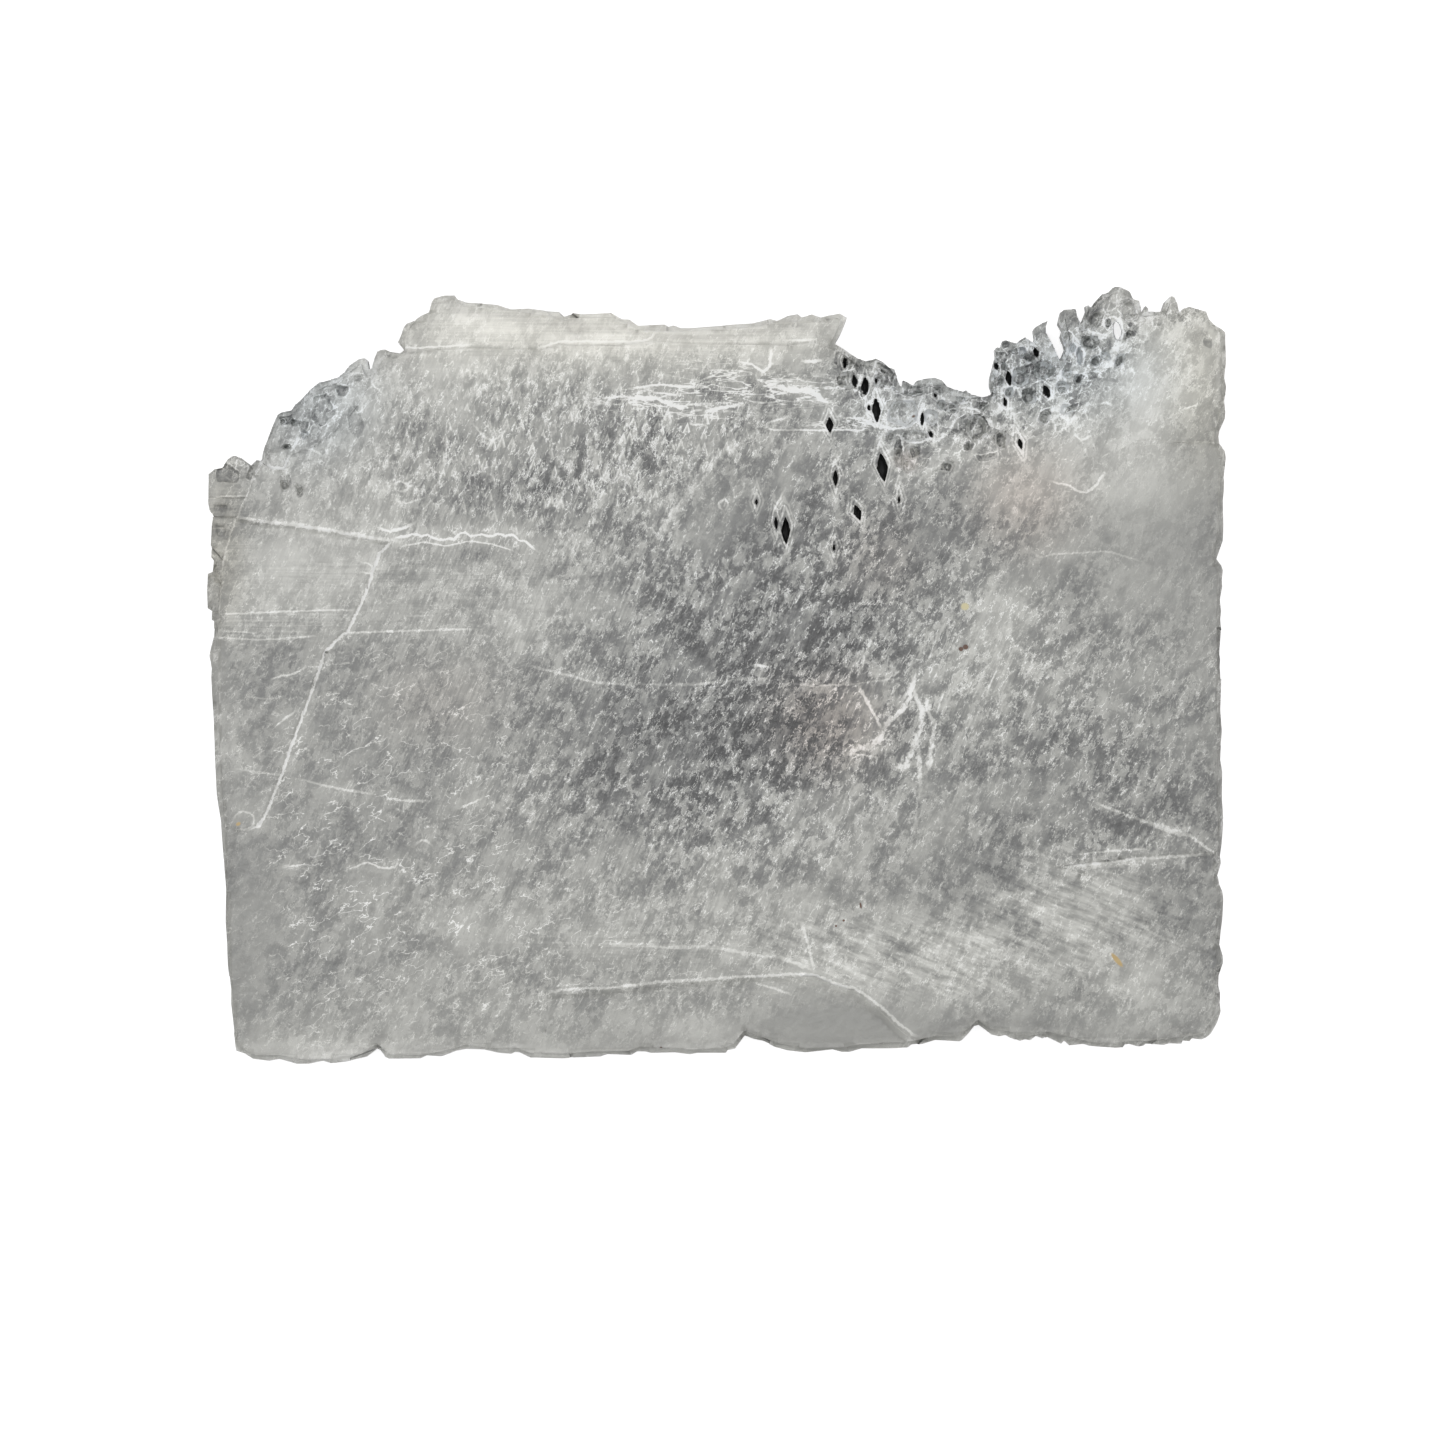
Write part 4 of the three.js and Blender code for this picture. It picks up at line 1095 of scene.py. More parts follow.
def flame_group():
    """Voronoi cells, some of them lit, each with one flame in it."""
    sheet, given, result = new_group(
        "Flames", {"Vector": 0, "Turn": 90, "Along": 20, "Across": 9, "Share": 0.7}, ["Mask"])
    placed = turned(sheet, given)
    cell = sheet.add("ShaderNodeTexVoronoi", {
        "Vector": placed, "Scale": 1.0, "Randomness": FLAME_JITTER}, out=None,
        voronoi_dimensions="2D").outputs
    luck = sheet.parts(cell["Color"])
    lit = sheet.math("LESS_THAN", luck["X"], given["Share"])
    light = sheet.math("MULTIPLY_ADD", luck["Y"], 1 - FLAME_LEAST, FLAME_LEAST)
    away = sheet.parts(sheet.vector("SUBTRACT", placed, cell["Position"]))
    aside = sheet.math("ABSOLUTE", away["Y"])
    tip = sheet.math("SUBTRACT", FLAME_TIP, sheet.times(aside, FLAME_SLANT))
    body = sheet.math("SUBTRACT", tip, away["X"])
    shape = sheet.times(sheet.span(body, *FLAME_START), sheet.span(body, *FLAME_FADE))
    sheet.tree.links.new(sheet.times(shape, sheet.times(lit, light)), result["Mask"])
    return sheet.tree


# %% Threads: thin lines where a noise passes a level, and gates that break them
def thread_along(sheet, field, level, thin):
    """1 where the field is at the level, 0 where it is off by more than thin."""
    off = sheet.math("ABSOLUTE", sheet.math("SUBTRACT", field, level))
    return sheet.span(off, thin, 0.0)


def gate(sheet, placed, scale, low, high, detail=1.0):
    """A soft mask of patches: 0 where its noise is under low, and 1 where it is over high."""
    return sheet.span(sheet.noise(placed, scale=scale, detail=detail), low, high)


# %% Squiggles: broken, crinkled lines
KEPT_MOST, KEPT_LESS, KEPT_SOFT = 0.75, 0.5, 0.06
KEPT_SCALE = 0.9


def squiggle_group():
    sheet, given, result = new_group(
        "Squiggles", {"Vector": 0, "Turn": 0, "Along": 14, "Across": 11, "Thin": 0.02,
                      "Share": 0.5, "Crinkle": 0.5}, ["Mask"])
    placed = turned(sheet, given)
    level = sheet.noise(placed, scale=1.0, detail=3.0, roughness=given["Crinkle"])
    low = sheet.math("SUBTRACT", KEPT_MOST, sheet.times(given["Share"], KEPT_LESS))
    kept = gate(sheet, placed, KEPT_SCALE, low, sheet.plus(low, KEPT_SOFT))
    thread = thread_along(sheet, level, 0.5, given["Thin"])
    sheet.tree.links.new(sheet.times(thread, kept), result["Mask"])
    return sheet.tree


# %% Frost: crisp tufts over clear patches, with a broken bright thread on their edges
TUFTS = (0.30, 0.70)
GAP_LEVEL, GAP_DARK = 0.46, 0.30
EDGE_LEVEL = 0.54
FROST_GATE = (2.6, 0.45, 0.60)


def frost_group():
    sheet, given, result = new_group(
        "Frost", {"Vector": 0, "Turn": 0, "Along": 30, "Across": 15, "Thin": 0.02},
        ["Tone", "Thread"])
    placed = turned(sheet, given)
    field = sheet.noise(placed, scale=1.0, detail=5.0, roughness=0.85)
    gap = thread_along(sheet, field, GAP_LEVEL, given["Thin"])
    tone = sheet.also(sheet.math("SUBTRACT", sheet.span(field, *TUFTS), 0.5), gap, -GAP_DARK)
    thread = sheet.times(thread_along(sheet, field, EDGE_LEVEL, given["Thin"]),
                         gate(sheet, placed, *FROST_GATE, detail=0.0))
    sheet.tree.links.new(tone, result["Tone"])
    sheet.tree.links.new(thread, result["Thread"])
    return sheet.tree


# %% Shards: small planes at all angles, each with a random tone, painted shade that runs across it as if it were tilted to the light, and a broken bright edge
SHARD_PAINTED_TILT = 1.5
SHARD_EDGE = (0.09, 0.01)
SHARD_GATE = (1.7, 0.48, 0.58)


def shard_group():
    sheet, given, result = new_group(
        "Shards", {"Vector": 0, "Turn": 0, "Along": 16, "Across": 8}, ["Tone", "Edge"])
    placed = turned(sheet, given)
    cell = sheet.add("ShaderNodeTexVoronoi", {"Vector": placed, "Scale": 1.0}, out=None,
                     voronoi_dimensions="2D").outputs
    luck = sheet.parts(cell["Color"])
    away = sheet.parts(sheet.vector("SUBTRACT", placed, cell["Position"]))
    # painted shade: a ramp across each plane, lighter on one side, as if the plane were tilted to the
    # lamp
    painted_tilt_shade = sheet.times(away["Y"], sheet.math("SUBTRACT", luck["Y"], 0.5))
    light = sheet.also(sheet.math("SUBTRACT", luck["X"], 0.5), painted_tilt_shade, SHARD_PAINTED_TILT)
    border = sheet.add("ShaderNodeTexVoronoi", {"Vector": placed, "Scale": 1.0}, out="Distance",
                       voronoi_dimensions="2D", feature="DISTANCE_TO_EDGE")
    edge = sheet.times(sheet.span(border, *SHARD_EDGE), gate(sheet, placed, *SHARD_GATE))
    sheet.tree.links.new(light, result["Tone"])
    sheet.tree.links.new(edge, result["Edge"])
    return sheet.tree


# %% Cracks: thin lines from the signed distances on the mesh
CRACK_WANDER = 0.4
CRACK_SOFT, CRACK_CORE = 0.5, 0.45


def crack_group(layers):
    sheet, given, result = new_group("Cracks", {"Wander": 0}, ["Light", "Glow"])
    light, glow = 0.0, 0.0
    for index in range(layers):
        stored = sheet.parts(sheet.add(
            "ShaderNodeAttribute", attribute_name=f"cracks_{index}", out="Vector"))
        side, near, width = (stored[n] for n in "XYZ")
        wander = sheet.times(given["Wander"], sheet.plus(width, CRACK_WANDER))
        far = sheet.math("ABSOLUTE", sheet.plus(side, wander))
        line = sheet.span(far, sheet.plus(width, CRACK_SOFT), sheet.times(width, CRACK_CORE))
        light = sheet.math("MAXIMUM", light, sheet.times(line, near))
        glow = sheet.math("MAXIMUM", glow, near)
    sheet.tree.links.new(light, result["Light"])
    sheet.tree.links.new(glow, result["Glow"])
    return sheet.tree


FIBRES_GROUP = fibre_group()
FLAMES_GROUP = flame_group()
SQUIGGLES_GROUP = squiggle_group()
FROST_GROUP = frost_group()
SHARDS_GROUP = shard_group()
CRACKS_GROUP = crack_group(crack_layer_count)
print("groups:", [g.name for g in bpy.data.node_groups])

# %% [markdown]
# ## The crystal's finish
# Clear gypsum is glass to the eye: light passes, bends by an index of 1.52 and loses a little on
# the way. The milky marks inside scatter it instead. So one glassy shader has a plain share of
# transmission, and the marks work on its colour. They are summed as one brightness, and a ramp
# turns that into the greys of the stone, which are bluish where it is clear and warm where it is
# milky.

# %% Parts that all the finishes share
MILK_RAMP = [
    (0.26, (0.004, 0.004, 0.004)),
    (0.44, (0.043, 0.044, 0.045)),
    (0.58, (0.162, 0.163, 0.160)),
    (0.69, (0.324, 0.323, 0.305)),
    (0.80, (0.531, 0.528, 0.499)),
    (0.90, (0.800, 0.795, 0.765)),
    (0.98, (0.960, 0.960, 0.950)),
]
TINTS = {"warm": (1.02, 1.0, 0.95), "pink": (1.08, 0.98, 0.94), "cool": (0.93, 0.99, 1.06)}
TINT_SHARE = 0.8
PASSED = 0.55
IOR = 1.52
CLEAR_PASS = (0.84, 0.86, 0.84, 1)
CLEAR_LOSS = 60.0


def crystal(name):
    """A material, its sheet of nodes, and the object's coordinates in grid squares."""
    material = bpy.data.materials.new(name)
    material.use_nodes = True
    sheet = Sheet(material.node_tree)
    coords = sheet.add("ShaderNodeTexCoord", out="Object")
    squares = sheet.add("ShaderNodeMapping", {
        "Vector": coords, "Scale": (1 / SQUARE, 1 / SQUARE, 1 / SQUARE)})
    return material, sheet, squares


def tinted(sheet, colour, zone, tint):
    """The colour, multiplied by a tint where the zone is."""
    share = sheet.math("MULTIPLY", sheet.zone(zone), TINT_SHARE, clamp=True)
    mix = sheet.add("ShaderNodeMix", {0: share, 6: colour}, out=None, data_type="RGBA",
                    blend_type="MULTIPLY")
    mix.inputs[7].default_value = (*tint, 1)
    return mix.outputs[2]


def stone_colour(sheet, tone):
    """Turns a brightness from 0 to 1 into the stone's colour."""
    ramp = sheet.add("ShaderNodeValToRGB", {"Fac": tone}, out=None)
    stops = ramp.color_ramp.elements
    while len(stops) < len(MILK_RAMP):
        stops.new(0.5)
    for stop, (at, colour) in zip(stops, MILK_RAMP):
        stop.position = at
        stop.color = (*colour, 1)
    colour = ramp.outputs["Color"]
    for zone, tint in TINTS.items():
        colour = tinted(sheet, colour, zone, tint)
    return colour


def finish_crystal(material, sheet, colour, gloss, **inputs):
    """Sets plain glass values, with a colour and a roughness of their own for each finish."""
    shader = material.node_tree.nodes["Principled BSDF"]
    sheet.fill(shader, {"Base Color": colour, "Roughness": gloss, "Transmission Weight": PASSED,
                        "IOR": IOR, **inputs})
    absorb = sheet.add("ShaderNodeVolumeAbsorption", {
        "Color": CLEAR_PASS, "Density": CLEAR_LOSS})
    sheet.tree.links.new(absorb, material.node_tree.nodes["Material Output"].inputs["Volume"])


# %% Iron grains and stains
# Each grain: grid x and y, half length, half width, turn in degrees, colour.
RUST, OCHRE, STRAW = (0.07, 0.022, 0.008), (0.50, 0.34, 0.12), (0.62, 0.55, 0.30)
UMBER = (0.16, 0.10, 0.07)
GRAINS = [
    (961.0, 649.0, 2.5, 2.3, 0, RUST), (965.6, 647.0, 2.9, 2.7, 0, RUST),
    (965.0, 606.5, 4.0, 3.6, 0, STRAW), (1117.0, 960.0, 8.5, 2.4, -50, OCHRE),
    (860.7, 905.6, 3.2, 1.1, -80, RUST), (843.7, 920.5, 1.3, 1.2, 0, RUST),
    (836.0, 926.0, 1.2, 1.1, 0, RUST), (238.0, 824.0, 2.6, 1.8, 30, OCHRE),
    (661.0, 1048.0, 1.4, 1.3, 0, RUST), (913.5, 416.0, 2.4, 1.6, 20, UMBER),
]
GRAIN_DEPTH = 12.0
GRAIN_EDGE = (1.25, 0.75)


def with_grains(sheet, squares, colour):
    """Lays each grain's colour over the stone, near its face."""
    for at_x, at_y, long, wide, turn, stain in GRAINS:
        middle = (at_x - GRID_MIDDLE[0], GRID_MIDDLE[1] - at_y, FACE_TOP / SQUARE)
        away = sheet.vector("SUBTRACT", squares, middle)
        placed = sheet.add("ShaderNodeVectorRotate", {
            "Vector": away, "Angle": math.radians(-turn)}, rotation_type="Z_AXIS")
        shape = sheet.vector("MULTIPLY", placed, (1 / long, 1 / wide, 1 / GRAIN_DEPTH))
        far = sheet.vector("LENGTH", shape, out="Value")
        mix = sheet.add("ShaderNodeMix", {0: sheet.span(far, *GRAIN_EDGE), 6: colour}, out=None,
                        data_type="RGBA")
        mix.inputs[7].default_value = (*stain, 1)
        colour = mix.outputs[2]
    return colour


# %% Sizes of the marks
# Each mark: its group, its turn in degrees, its length and width in squares, and what else the
# group takes.
MARKS = {
    "haze": (FIBRES_GROUP, dict(Turn=-50.0, Along=75.0, Across=52.0, Rough=0.62)),
    "frost": (FROST_GROUP, dict(Turn=-62.0, Along=24.0, Across=15.0, Thin=0.024)),
    "tall frost": (FROST_GROUP, dict(Turn=-80.0, Along=34.0, Across=14.0, Thin=0.03)),
    "needles": (FIBRES_GROUP, dict(Turn=-67.0, Along=34.0, Across=2.2, Rough=0.6)),
    "level fibres": (FIBRES_GROUP, dict(Turn=0.5, Along=90.0, Across=2.6)),
    "feathers": (FIBRES_GROUP, dict(Turn=20.0, Along=34.0, Across=7.0, Rough=0.8)),
    "fan": (FIBRES_GROUP, dict(Turn=27.0, Along=110.0, Across=19.0, Rough=0.55)),
    "flames": (FLAMES_GROUP, dict(Turn=-84.0, Along=17.0, Across=8.0, Share=0.6)),
    "glints": (SQUIGGLES_GROUP, dict(
        Turn=-60.0, Along=15.0, Across=6.0, Thin=0.030, Share=0.5, Crinkle=0.6)),
    "squiggles": (SQUIGGLES_GROUP, dict(
        Turn=-22.0, Along=26.0, Across=13.0, Thin=0.018, Share=0.5, Crinkle=0.5)),
    "torn sheets": (SQUIGGLES_GROUP, dict(
        Turn=2.0, Along=44.0, Across=8.0, Thin=0.050, Share=1.0, Crinkle=0.6)),
    "filaments": (SQUIGGLES_GROUP, dict(
        Turn=-70.0, Along=30.0, Across=17.0, Thin=0.020, Share=0.9, Crinkle=0.6)),
    "large shards": (SHARDS_GROUP, dict(Turn=-58.0, Along=24.0, Across=11.0)),
    "small shards": (SHARDS_GROUP, dict(Turn=-20.0, Along=9.0, Across=6.0)),
}


def mark(sheet, squares, name):
    """The outputs of a mark's group."""
    group, size = MARKS[name]
    return sheet.group(group, Vector=squares, **size)


print(len(MARKS), "marks")

# %% Strengths of the marks
# Each mark: its zone, its strength there, and a little of it that is everywhere but calm places.
STRENGTHS = {
    "needles": ("needles", 0.17, 0.06),
    "level fibres": ("level_fibres", 0.20, 0.0),
    "feathers": ("feathers", 0.38, 0.0),
    "fan": ("feathers", 0.32, 0.0),
    "flames": ("flames", 0.28, 0.0),
    "glints": ("lively", 0.28, 0.15),
    "squiggles": ("squiggles", 0.26, 0.05),
}
WEATHERED_STRENGTHS = {"torn sheets": ("torn", 0.42, 0.0), "filaments": ("comb", 0.20, 0.0)}


def with_marks(sheet, squares, tone, strengths, where):
    """Adds marks to the tone, each as strong as its zone says."""
    for name, (zone, much, little) in strengths.items():
        amount = sheet.math("MULTIPLY_ADD", where[zone], much, little)
        if little:
            amount = sheet.times(where["calm"], amount)
        tone = sheet.also(tone, mark(sheet, squares, name)[0], amount)
    return tone


def with_frost(sheet, tone, frost, body, thread):
    """Adds a frost's tufts and the threads on their edges."""
    return sheet.also(sheet.also(tone, frost["Tone"], body), frost["Thread"], thread)


# %% Marks of the weathered parts
# Shards: the strengths of their planes and of their edges.
SHARD_STRENGTHS = {"large shards": (0.18, 0.27), "small shards": (0.18, 0.18)}
SHARD_SWAY = (7.0, -5.0)
FACET_WANDER = 2.6
FACET_SPAN = (0.5, -0.5)
WALL_AT, WALL_SPAN = 0.9, (0.9, 0.25)
WALL_GATE = (0.10, 0.44, 0.54)
WALL_LIGHT = 0.26


def weathered_marks(sheet, squares, tone, where, wander):
    """Adds shards, clear facets with thin pale walls, threads between them and torn sheets."""
    comb = where["comb"]
    where["torn"] = sheet.zone("torn")
    tone = with_marks(sheet, squares, tone, WEATHERED_STRENGTHS, where)
    sway = sheet.add("ShaderNodeCombineXYZ", {
        axis: sheet.times(wander, amount) for axis, amount in zip("XY", SHARD_SWAY)})
    swayed = sheet.vector("ADD", squares, sway)
    for name, (plane, edge) in SHARD_STRENGTHS.items():
        shard = mark(sheet, swayed, name)
        tone = sheet.also(tone, shard["Tone"], sheet.times(comb, plane))
        tone = sheet.also(tone, shard["Edge"], sheet.times(comb, edge))
    edge = sheet.also(sheet.zone("facet_edge"), wander, FACET_WANDER)
    tone = sheet.also(tone, sheet.span(edge, *FACET_SPAN), sheet.zone("facet_light"))
    off = sheet.math("ABSOLUTE", sheet.math("SUBTRACT", edge, WALL_AT))
    wall = sheet.times(sheet.span(off, *WALL_SPAN), gate(sheet, squares, *WALL_GATE))
    return sheet.also(tone, wall, sheet.times(comb, WALL_LIGHT))


# %% Selenite, as seen on the face
SMOOTH_HIDES = 0.8
HAZE_TONE, HAZE_SPAN, HAZE_HIDES = 0.16, (-0.04, 0.16), 0.65
FROST_SHARE, FROST_IN_COMB = (0.24, 0.14), 0.18
TALL_TUFTS, TALL_THREAD = 0.26, 0.48
RIDGE_SPAN, RIDGE_PAINTED_HIGHLIGHT = (0.05, 0.5), 0.08
RIM_PAINTED_LIGHT = 0.06
SIDE_PAINTED_LIGHT = 0.20
CRACK_BEND, CRACK_GLOW = 2.4, 0.15
# Two terraces stand round each pit: how far from its mouth, and how bright.
PIT_TERRACES = ((2.6, 0.20), (5.6, 0.11))
TERRACE_BEND, TERRACE_SPAN = 2.0, (1.5, 0.5)
FACE_GLOSS, CLEAR_GLOSS, ROUGH_GLOSS = 0.40, -0.07, 0.2
BUMP_SCALE, BUMP_STRENGTH, BUMP_HEIGHT = 0.14, 0.4, 0.25 * MM


def veiled(sheet, squares, where):
    """The tone of the ground, with its haze and its frost, which the haze hides in part."""
    haze = mark(sheet, squares, "haze")["Value"]
    clear = sheet.math("MULTIPLY_ADD", sheet.span(haze, *HAZE_SPAN), -HAZE_HIDES, 1.0)
    seen = sheet.times(where["calm"], clear)
    tone = sheet.also(sheet.zone("brightness"), haze, sheet.times(where["calm"], HAZE_TONE))
    share = sheet.math(
        "MAXIMUM", sheet.times(seen, sheet.math("MULTIPLY_ADD", where["fine_flecks"], *FROST_SHARE)),
        sheet.times(where["comb"], FROST_IN_COMB))
    tone = with_frost(sheet, tone, mark(sheet, squares, "frost"), share, share)
    share = sheet.times(seen, where["flames"])
    return with_frost(sheet, tone, mark(sheet, squares, "tall frost"),
                      sheet.times(share, TALL_TUFTS), sheet.times(share, TALL_THREAD))


def cracked(sheet, tone, wander):
    """Adds the cracks, and the terraces round the pits."""
    cracks = sheet.group(CRACKS_GROUP, Wander=sheet.times(wander, CRACK_BEND))
    tone = sheet.also(sheet.plus(tone, cracks["Light"]), cracks["Glow"], CRACK_GLOW)
    terrace = sheet.also(sheet.zone("terrace"), wander, TERRACE_BEND)
    for distance, light in PIT_TERRACES:
        off = sheet.math("ABSOLUTE", sheet.math("SUBTRACT", terrace, distance))
        tone = sheet.also(tone, sheet.span(off, *TERRACE_SPAN), light)
    return tone


def selenite(name, weathered):
    material, sheet, squares = crystal(name)
    where = {zone: sheet.zone(zone) for zone in (
        "fine_flecks", "flames", "needles", "level_fibres", "feathers", "squiggles")}
    where["calm"] = sheet.math("SUBTRACT", 1.0, sheet.times(sheet.zone("smooth"), SMOOTH_HIDES),
                               clamp=True)
    where["lively"] = sheet.math("MAXIMUM", where["fine_flecks"], where["flames"])
    where["comb"] = sheet.math("MINIMUM", sheet.zone("honeycomb"), 1.0)
    wander = sheet.math("SUBTRACT", sheet.noise(
        squares, scale=0.16, detail=3.0, roughness=0.75), 0.5)

    tone = veiled(sheet, squares, where)
    tone = with_marks(sheet, squares, tone, STRENGTHS, where)
    if weathered:
        tone = weathered_marks(sheet, squares, tone, where, wander)
    # painted highlight: ridges that stand over their neighbours are made lighter, as if they caught
    # the light
    tone = sheet.also(tone, sheet.span(sheet.zone("ridge"), *RIDGE_SPAN), RIDGE_PAINTED_HIGHLIGHT)
    # painted light: the low ledges round the edge are made lighter against their shade
    tone = sheet.also(tone, sheet.zone("rim"), RIM_PAINTED_LIGHT)
    tone = cracked(sheet, tone, wander)
    side, pit = sheet.zone("side"), sheet.zone("pit")
    # painted light: steep faces are made lighter against the shade that darkens them
    tone = sheet.also(tone, side, SIDE_PAINTED_LIGHT)
    # painted shade: faces inside a pit are made black, for the dark depth of the pit
    tone = sheet.times(tone, sheet.math("SUBTRACT", 1.0, pit))

    gloss = sheet.math("MULTIPLY_ADD", sheet.zone("clear"), CLEAR_GLOSS, FACE_GLOSS)
    gloss = sheet.also(gloss, sheet.math("MAXIMUM", side, pit), ROUGH_GLOSS)
    bump = sheet.add("ShaderNodeBump", {
        "Height": sheet.noise(squares, scale=BUMP_SCALE, detail=2.0), "Strength": BUMP_STRENGTH,
        "Distance": BUMP_HEIGHT}, out="Normal")
    colour = with_grains(sheet, squares, stone_colour(sheet, tone))
    finish_crystal(material, sheet, colour, gloss, Normal=bump)
    return material


# %% Selenite, as seen on the broken sides
# Each mark: squares along the sides and up them, how strong it is, and whether it is a thread.
SIDE_MARKS = {
    "thick sheets": (150.0, 7.0, 0.55, False),
    "thin sheets": (60.0, 1.3, 0.55, False),
    "splinters": (7.0, 18.0, 0.22, False),
    "parted sheets": (90.0, 5.0, 0.22, True),
}
SIDE_TONE = 0.64
SIDE_GLOSS = 0.42
THREAD_HALF = 0.02


def selenite_side():
    """The sides show the edges of the sheets: fine level lines that run, part and stop."""
    material, sheet, squares = crystal("selenite_side")
    tone = SIDE_TONE
    for along, up, strength, thread in SIDE_MARKS.values():
        placed = sheet.add("ShaderNodeMapping", {
            "Vector": squares, "Scale": (1 / along, 1 / along, 1 / up)})
        shade = sheet.math("SUBTRACT", sheet.add("ShaderNodeTexNoise", {
            "Vector": placed, "Scale": 1.0, "Detail": 3.0, "Roughness": 0.6}), 0.5)
        if thread:
            shade = thread_along(sheet, shade, 0.0, THREAD_HALF)
        tone = sheet.also(tone, shade, strength)
    finish_crystal(material, sheet, stone_colour(sheet, tone), SIDE_GLOSS)
    return material


# %% Selenite, as seen from below
SOLE_HAZE = 0.30
SOLE_FROST = (0.20, 0.12)
SOLE_GLOSS = 0.36


def selenite_underside():
    """The sole is one clean cleavage face, with the haze and frost of the stone and little else."""
    material, sheet, squares = crystal("selenite_underside")
    tone = sheet.also(sheet.zone("brightness"), mark(sheet, squares, "haze")["Value"], SOLE_HAZE)
    share = sheet.math("MULTIPLY_ADD", sheet.zone("fine_flecks"), *SOLE_FROST)
    tone = with_frost(sheet, tone, mark(sheet, squares, "frost"), share, share)
    finish_crystal(material, sheet, stone_colour(sheet, tone), SOLE_GLOSS)
    return material


# %% [markdown]
# ## Which face gets which finish
# The marks of the weathered parts are the dearest to render, so only the faces that show them get
# them. A steep face is a broken side, unless it is the wall of a pit, of the through hole or of a
# pocket. A pocket is shallow and has another wall across from it, so a level look out tells.

# %% Give every face its finish
LEAST_SHARE = 0.02
POCKET_LOW = 8.0 * MM
POCKET_WIDE = 9.0 * MM
HOLE_WALLS = 17.0
WALL = 0.5


def values_of(mesh, name, count):
    values = np.zeros(count, np.float32)
    mesh.attributes[name].data.foreach_get("value", values)
    return values


def in_pocket(tree, face):
    """True for the walls of the through hole, and for a high wall with another one across from it."""
    x, y = grid_place(face.center.x, face.center.y)
    if math.hypot(x - HOLE_MIDDLE[0], y - HOLE_MIDDLE[1]) < HOLE_WALLS:
        return True
    way = Vector((face.normal.x, face.normal.y, 0)).normalized()
    met = tree.ray_cast(face.center + way * EPS, way, POCKET_WIDE)[0]
    return face.center.z > POCKET_LOW and met is not None


def give_finishes(mesh):
    finishes = {
        "face": selenite("selenite_face", weathered=False),
        "weathered": selenite("selenite_weathered", weathered=True),
        "side": selenite_side(),
        "sole": selenite_underside(),
    }
    for material in finishes.values():
        mesh.materials.append(material)
    order = list(finishes)
    count = len(mesh.vertices)
    near = values_of(mesh, "facet_edge", count) < FACET_REACH / 2
    for name in ("honeycomb", "torn"):
        near |= values_of(mesh, name, count) > LEAST_SHARE
    pits = values_of(mesh, "pit", len(mesh.polygons)) > 0
    tree = BVHTree.FromPolygons(
        [v.co for v in mesh.vertices], [tuple(face.vertices) for face in mesh.polygons])
    used = []
    for face, in_pit in zip(mesh.polygons, pits):
        weathered = near[list(face.vertices)].any()
        if face.normal.z < DOWN:
            finish = "sole"
        elif face.normal.z < WALL and not in_pit and not (weathered and in_pocket(tree, face)):
            finish = "side"
        else:
            finish = "weathered" if weathered else "face"
        face.material_index = order.index(finish)
        used.append(finish)
    for finish, material in finishes.items():
        print(material.name, len(material.node_tree.nodes), "nodes,", used.count(finish), "faces")


give_finishes(slab.data)

# %% [markdown]
# ## Floor, light and camera
# The slab lies over a white floor under even light, as on a lightbox, so its marks are read by how
# much light passes and not by shadows. A floor in the very plane of the sole would flicker through
# it, so it lies a hair lower, and it is clear from its back, which lets the sole be seen from
# below. The camera looks straight down from far away, which keeps the sides out of sight and the
# outline true.

# %% Floor
PANEL_GLOW = 0.75
PANEL_GREY = 0.45
PANEL_DROP = 0.1 * MM
PANEL_HALF = 6.0


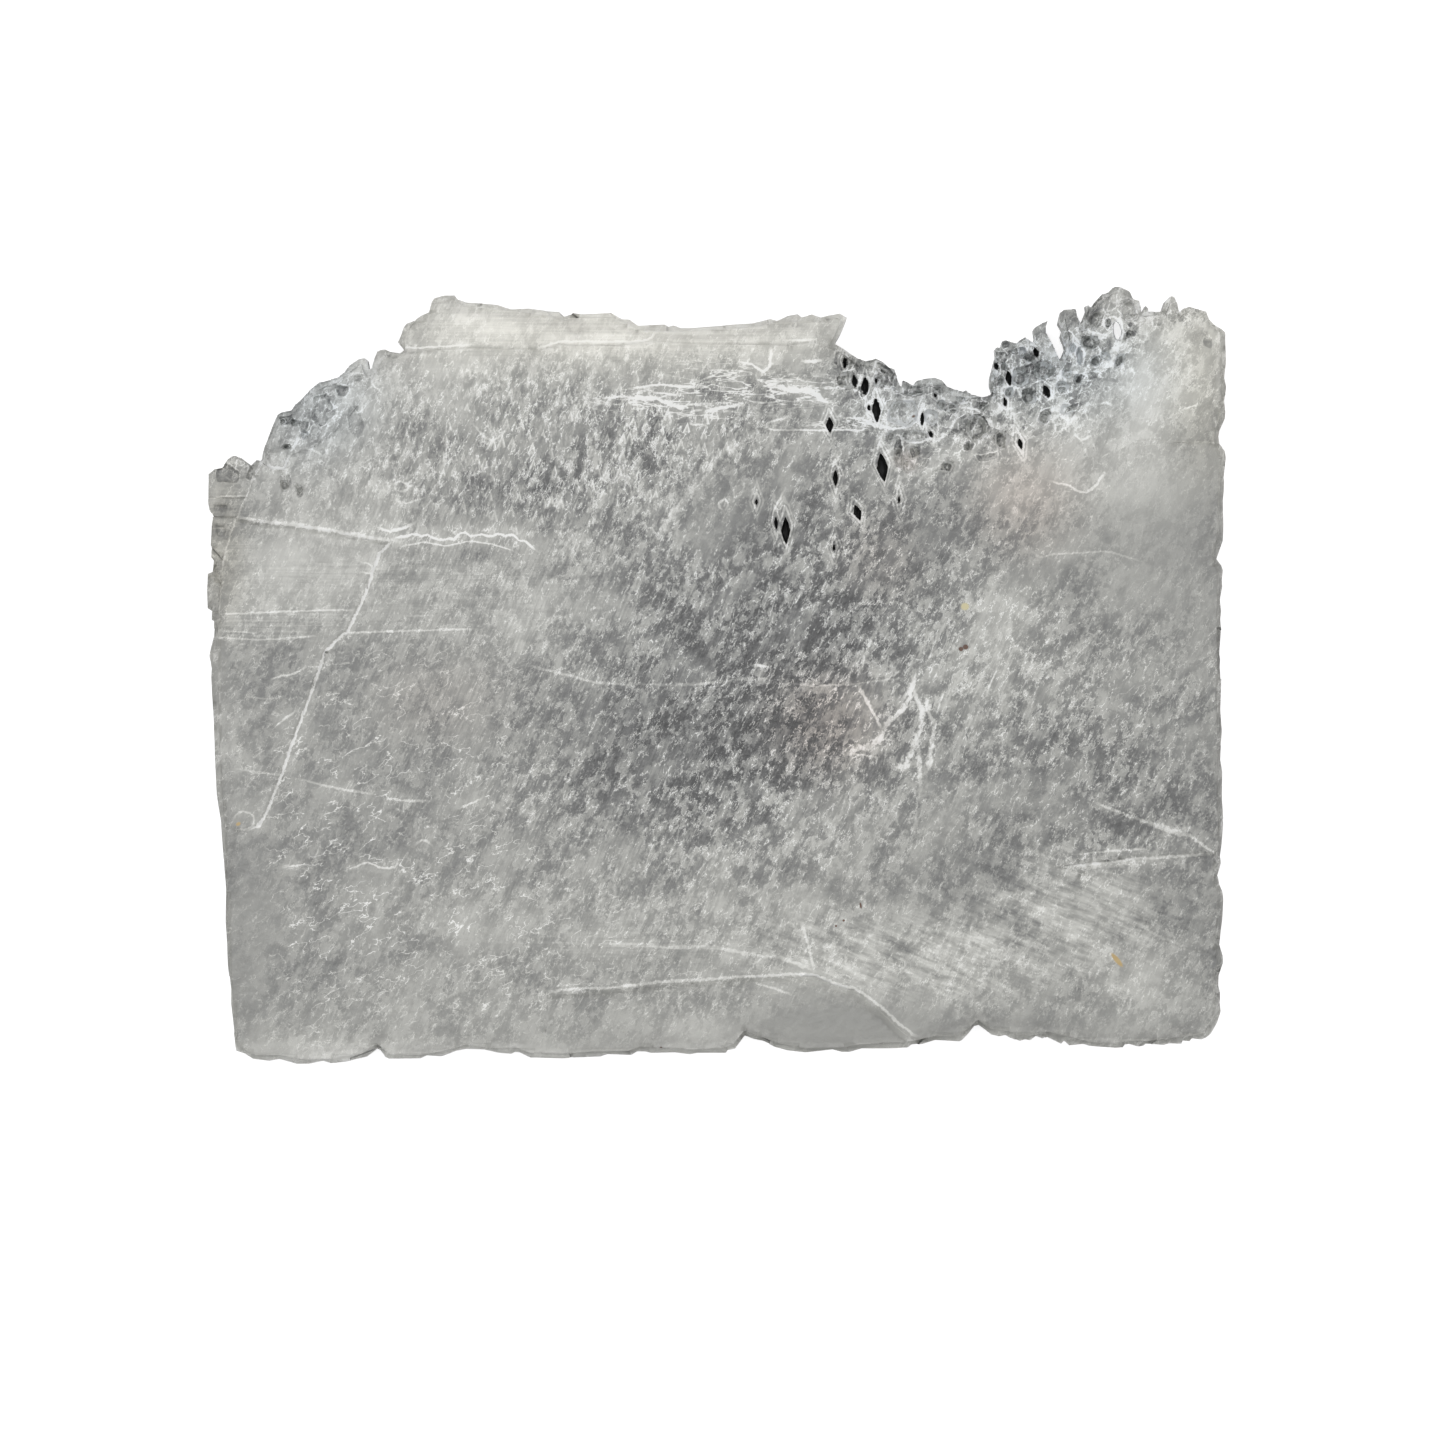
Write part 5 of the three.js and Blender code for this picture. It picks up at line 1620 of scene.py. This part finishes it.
def floor_plane():
    mesh = bpy.data.meshes.new("floor")
    plane = bmesh.new()
    bmesh.ops.create_grid(plane, x_segments=1, y_segments=1, size=PANEL_HALF)
    plane.to_mesh(mesh)
    plane.free()
    floor = bpy.data.objects.new("floor", mesh)
    floor.location.z = -PANEL_DROP
    bpy.context.collection.objects.link(floor)
    panel = bpy.data.materials.new("lit_panel")
    panel.use_nodes = True
    sheet = Sheet(panel.node_tree)
    under = sheet.add("ShaderNodeNewGeometry", out="Backfacing")
    sheet.fill(panel.node_tree.nodes["Principled BSDF"], {
        "Base Color": (PANEL_GREY, PANEL_GREY, PANEL_GREY, 1), "Roughness": 0.9,
        "Specular IOR Level": 0.0, "Emission Color": (1, 1, 1, 1),
        "Emission Strength": PANEL_GLOW, "Alpha": sheet.math("SUBTRACT", 1.0, under)})
    mesh.materials.append(panel)
    print("floor", PANEL_DROP / MM, "mm under the slab")


floor_plane()

# %% Light
SKY = 0.74
world = bpy.data.worlds.new("even_sky")
world.use_nodes = True
world.node_tree.nodes["Background"].inputs["Color"].default_value = (1, 1, 1, 1)
world.node_tree.nodes["Background"].inputs["Strength"].default_value = SKY
bpy.context.scene.world = world


def softbox(name, place, size, watts):
    lamp = bpy.data.lights.new(name, "AREA")
    lamp.shape = "DISK"
    lamp.size = size
    lamp.energy = watts
    box = bpy.data.objects.new(name, lamp)
    box.location = place
    box.rotation_euler = (-Vector(place)).to_track_quat("-Z", "Y").to_euler()
    bpy.context.collection.objects.link(box)
    print(name, watts, "W")


softbox("softbox_over", (-0.5, 0.6, 2.2), 1.8, 32.0)
softbox("softbox_right", (1.2, -0.2, 1.6), 1.0, 10.0)

# %% Camera
FRAME_SQUARES = 1445
FRAME_MIDDLE = (722.5, 722.5)
LENS = 150.0
SENSOR = 36.0
frame_width = FRAME_SQUARES * SQUARE
distance = frame_width * LENS / SENSOR
lens = bpy.data.cameras.new("camera")
lens.lens = LENS
lens.sensor_width = SENSOR
lens.clip_start = 0.01
lens.clip_end = 20.0
camera = bpy.data.objects.new("camera", lens)
camera.location = (
    (FRAME_MIDDLE[0] - GRID_MIDDLE[0]) * SQUARE,
    (GRID_MIDDLE[1] - FRAME_MIDDLE[1]) * SQUARE,
    FACE_TOP + distance,
)
bpy.context.collection.objects.link(camera)
bpy.context.scene.camera = camera
bpy.context.scene.view_settings.view_transform = "Standard"
print("camera", round(distance, 3), "m above the face")
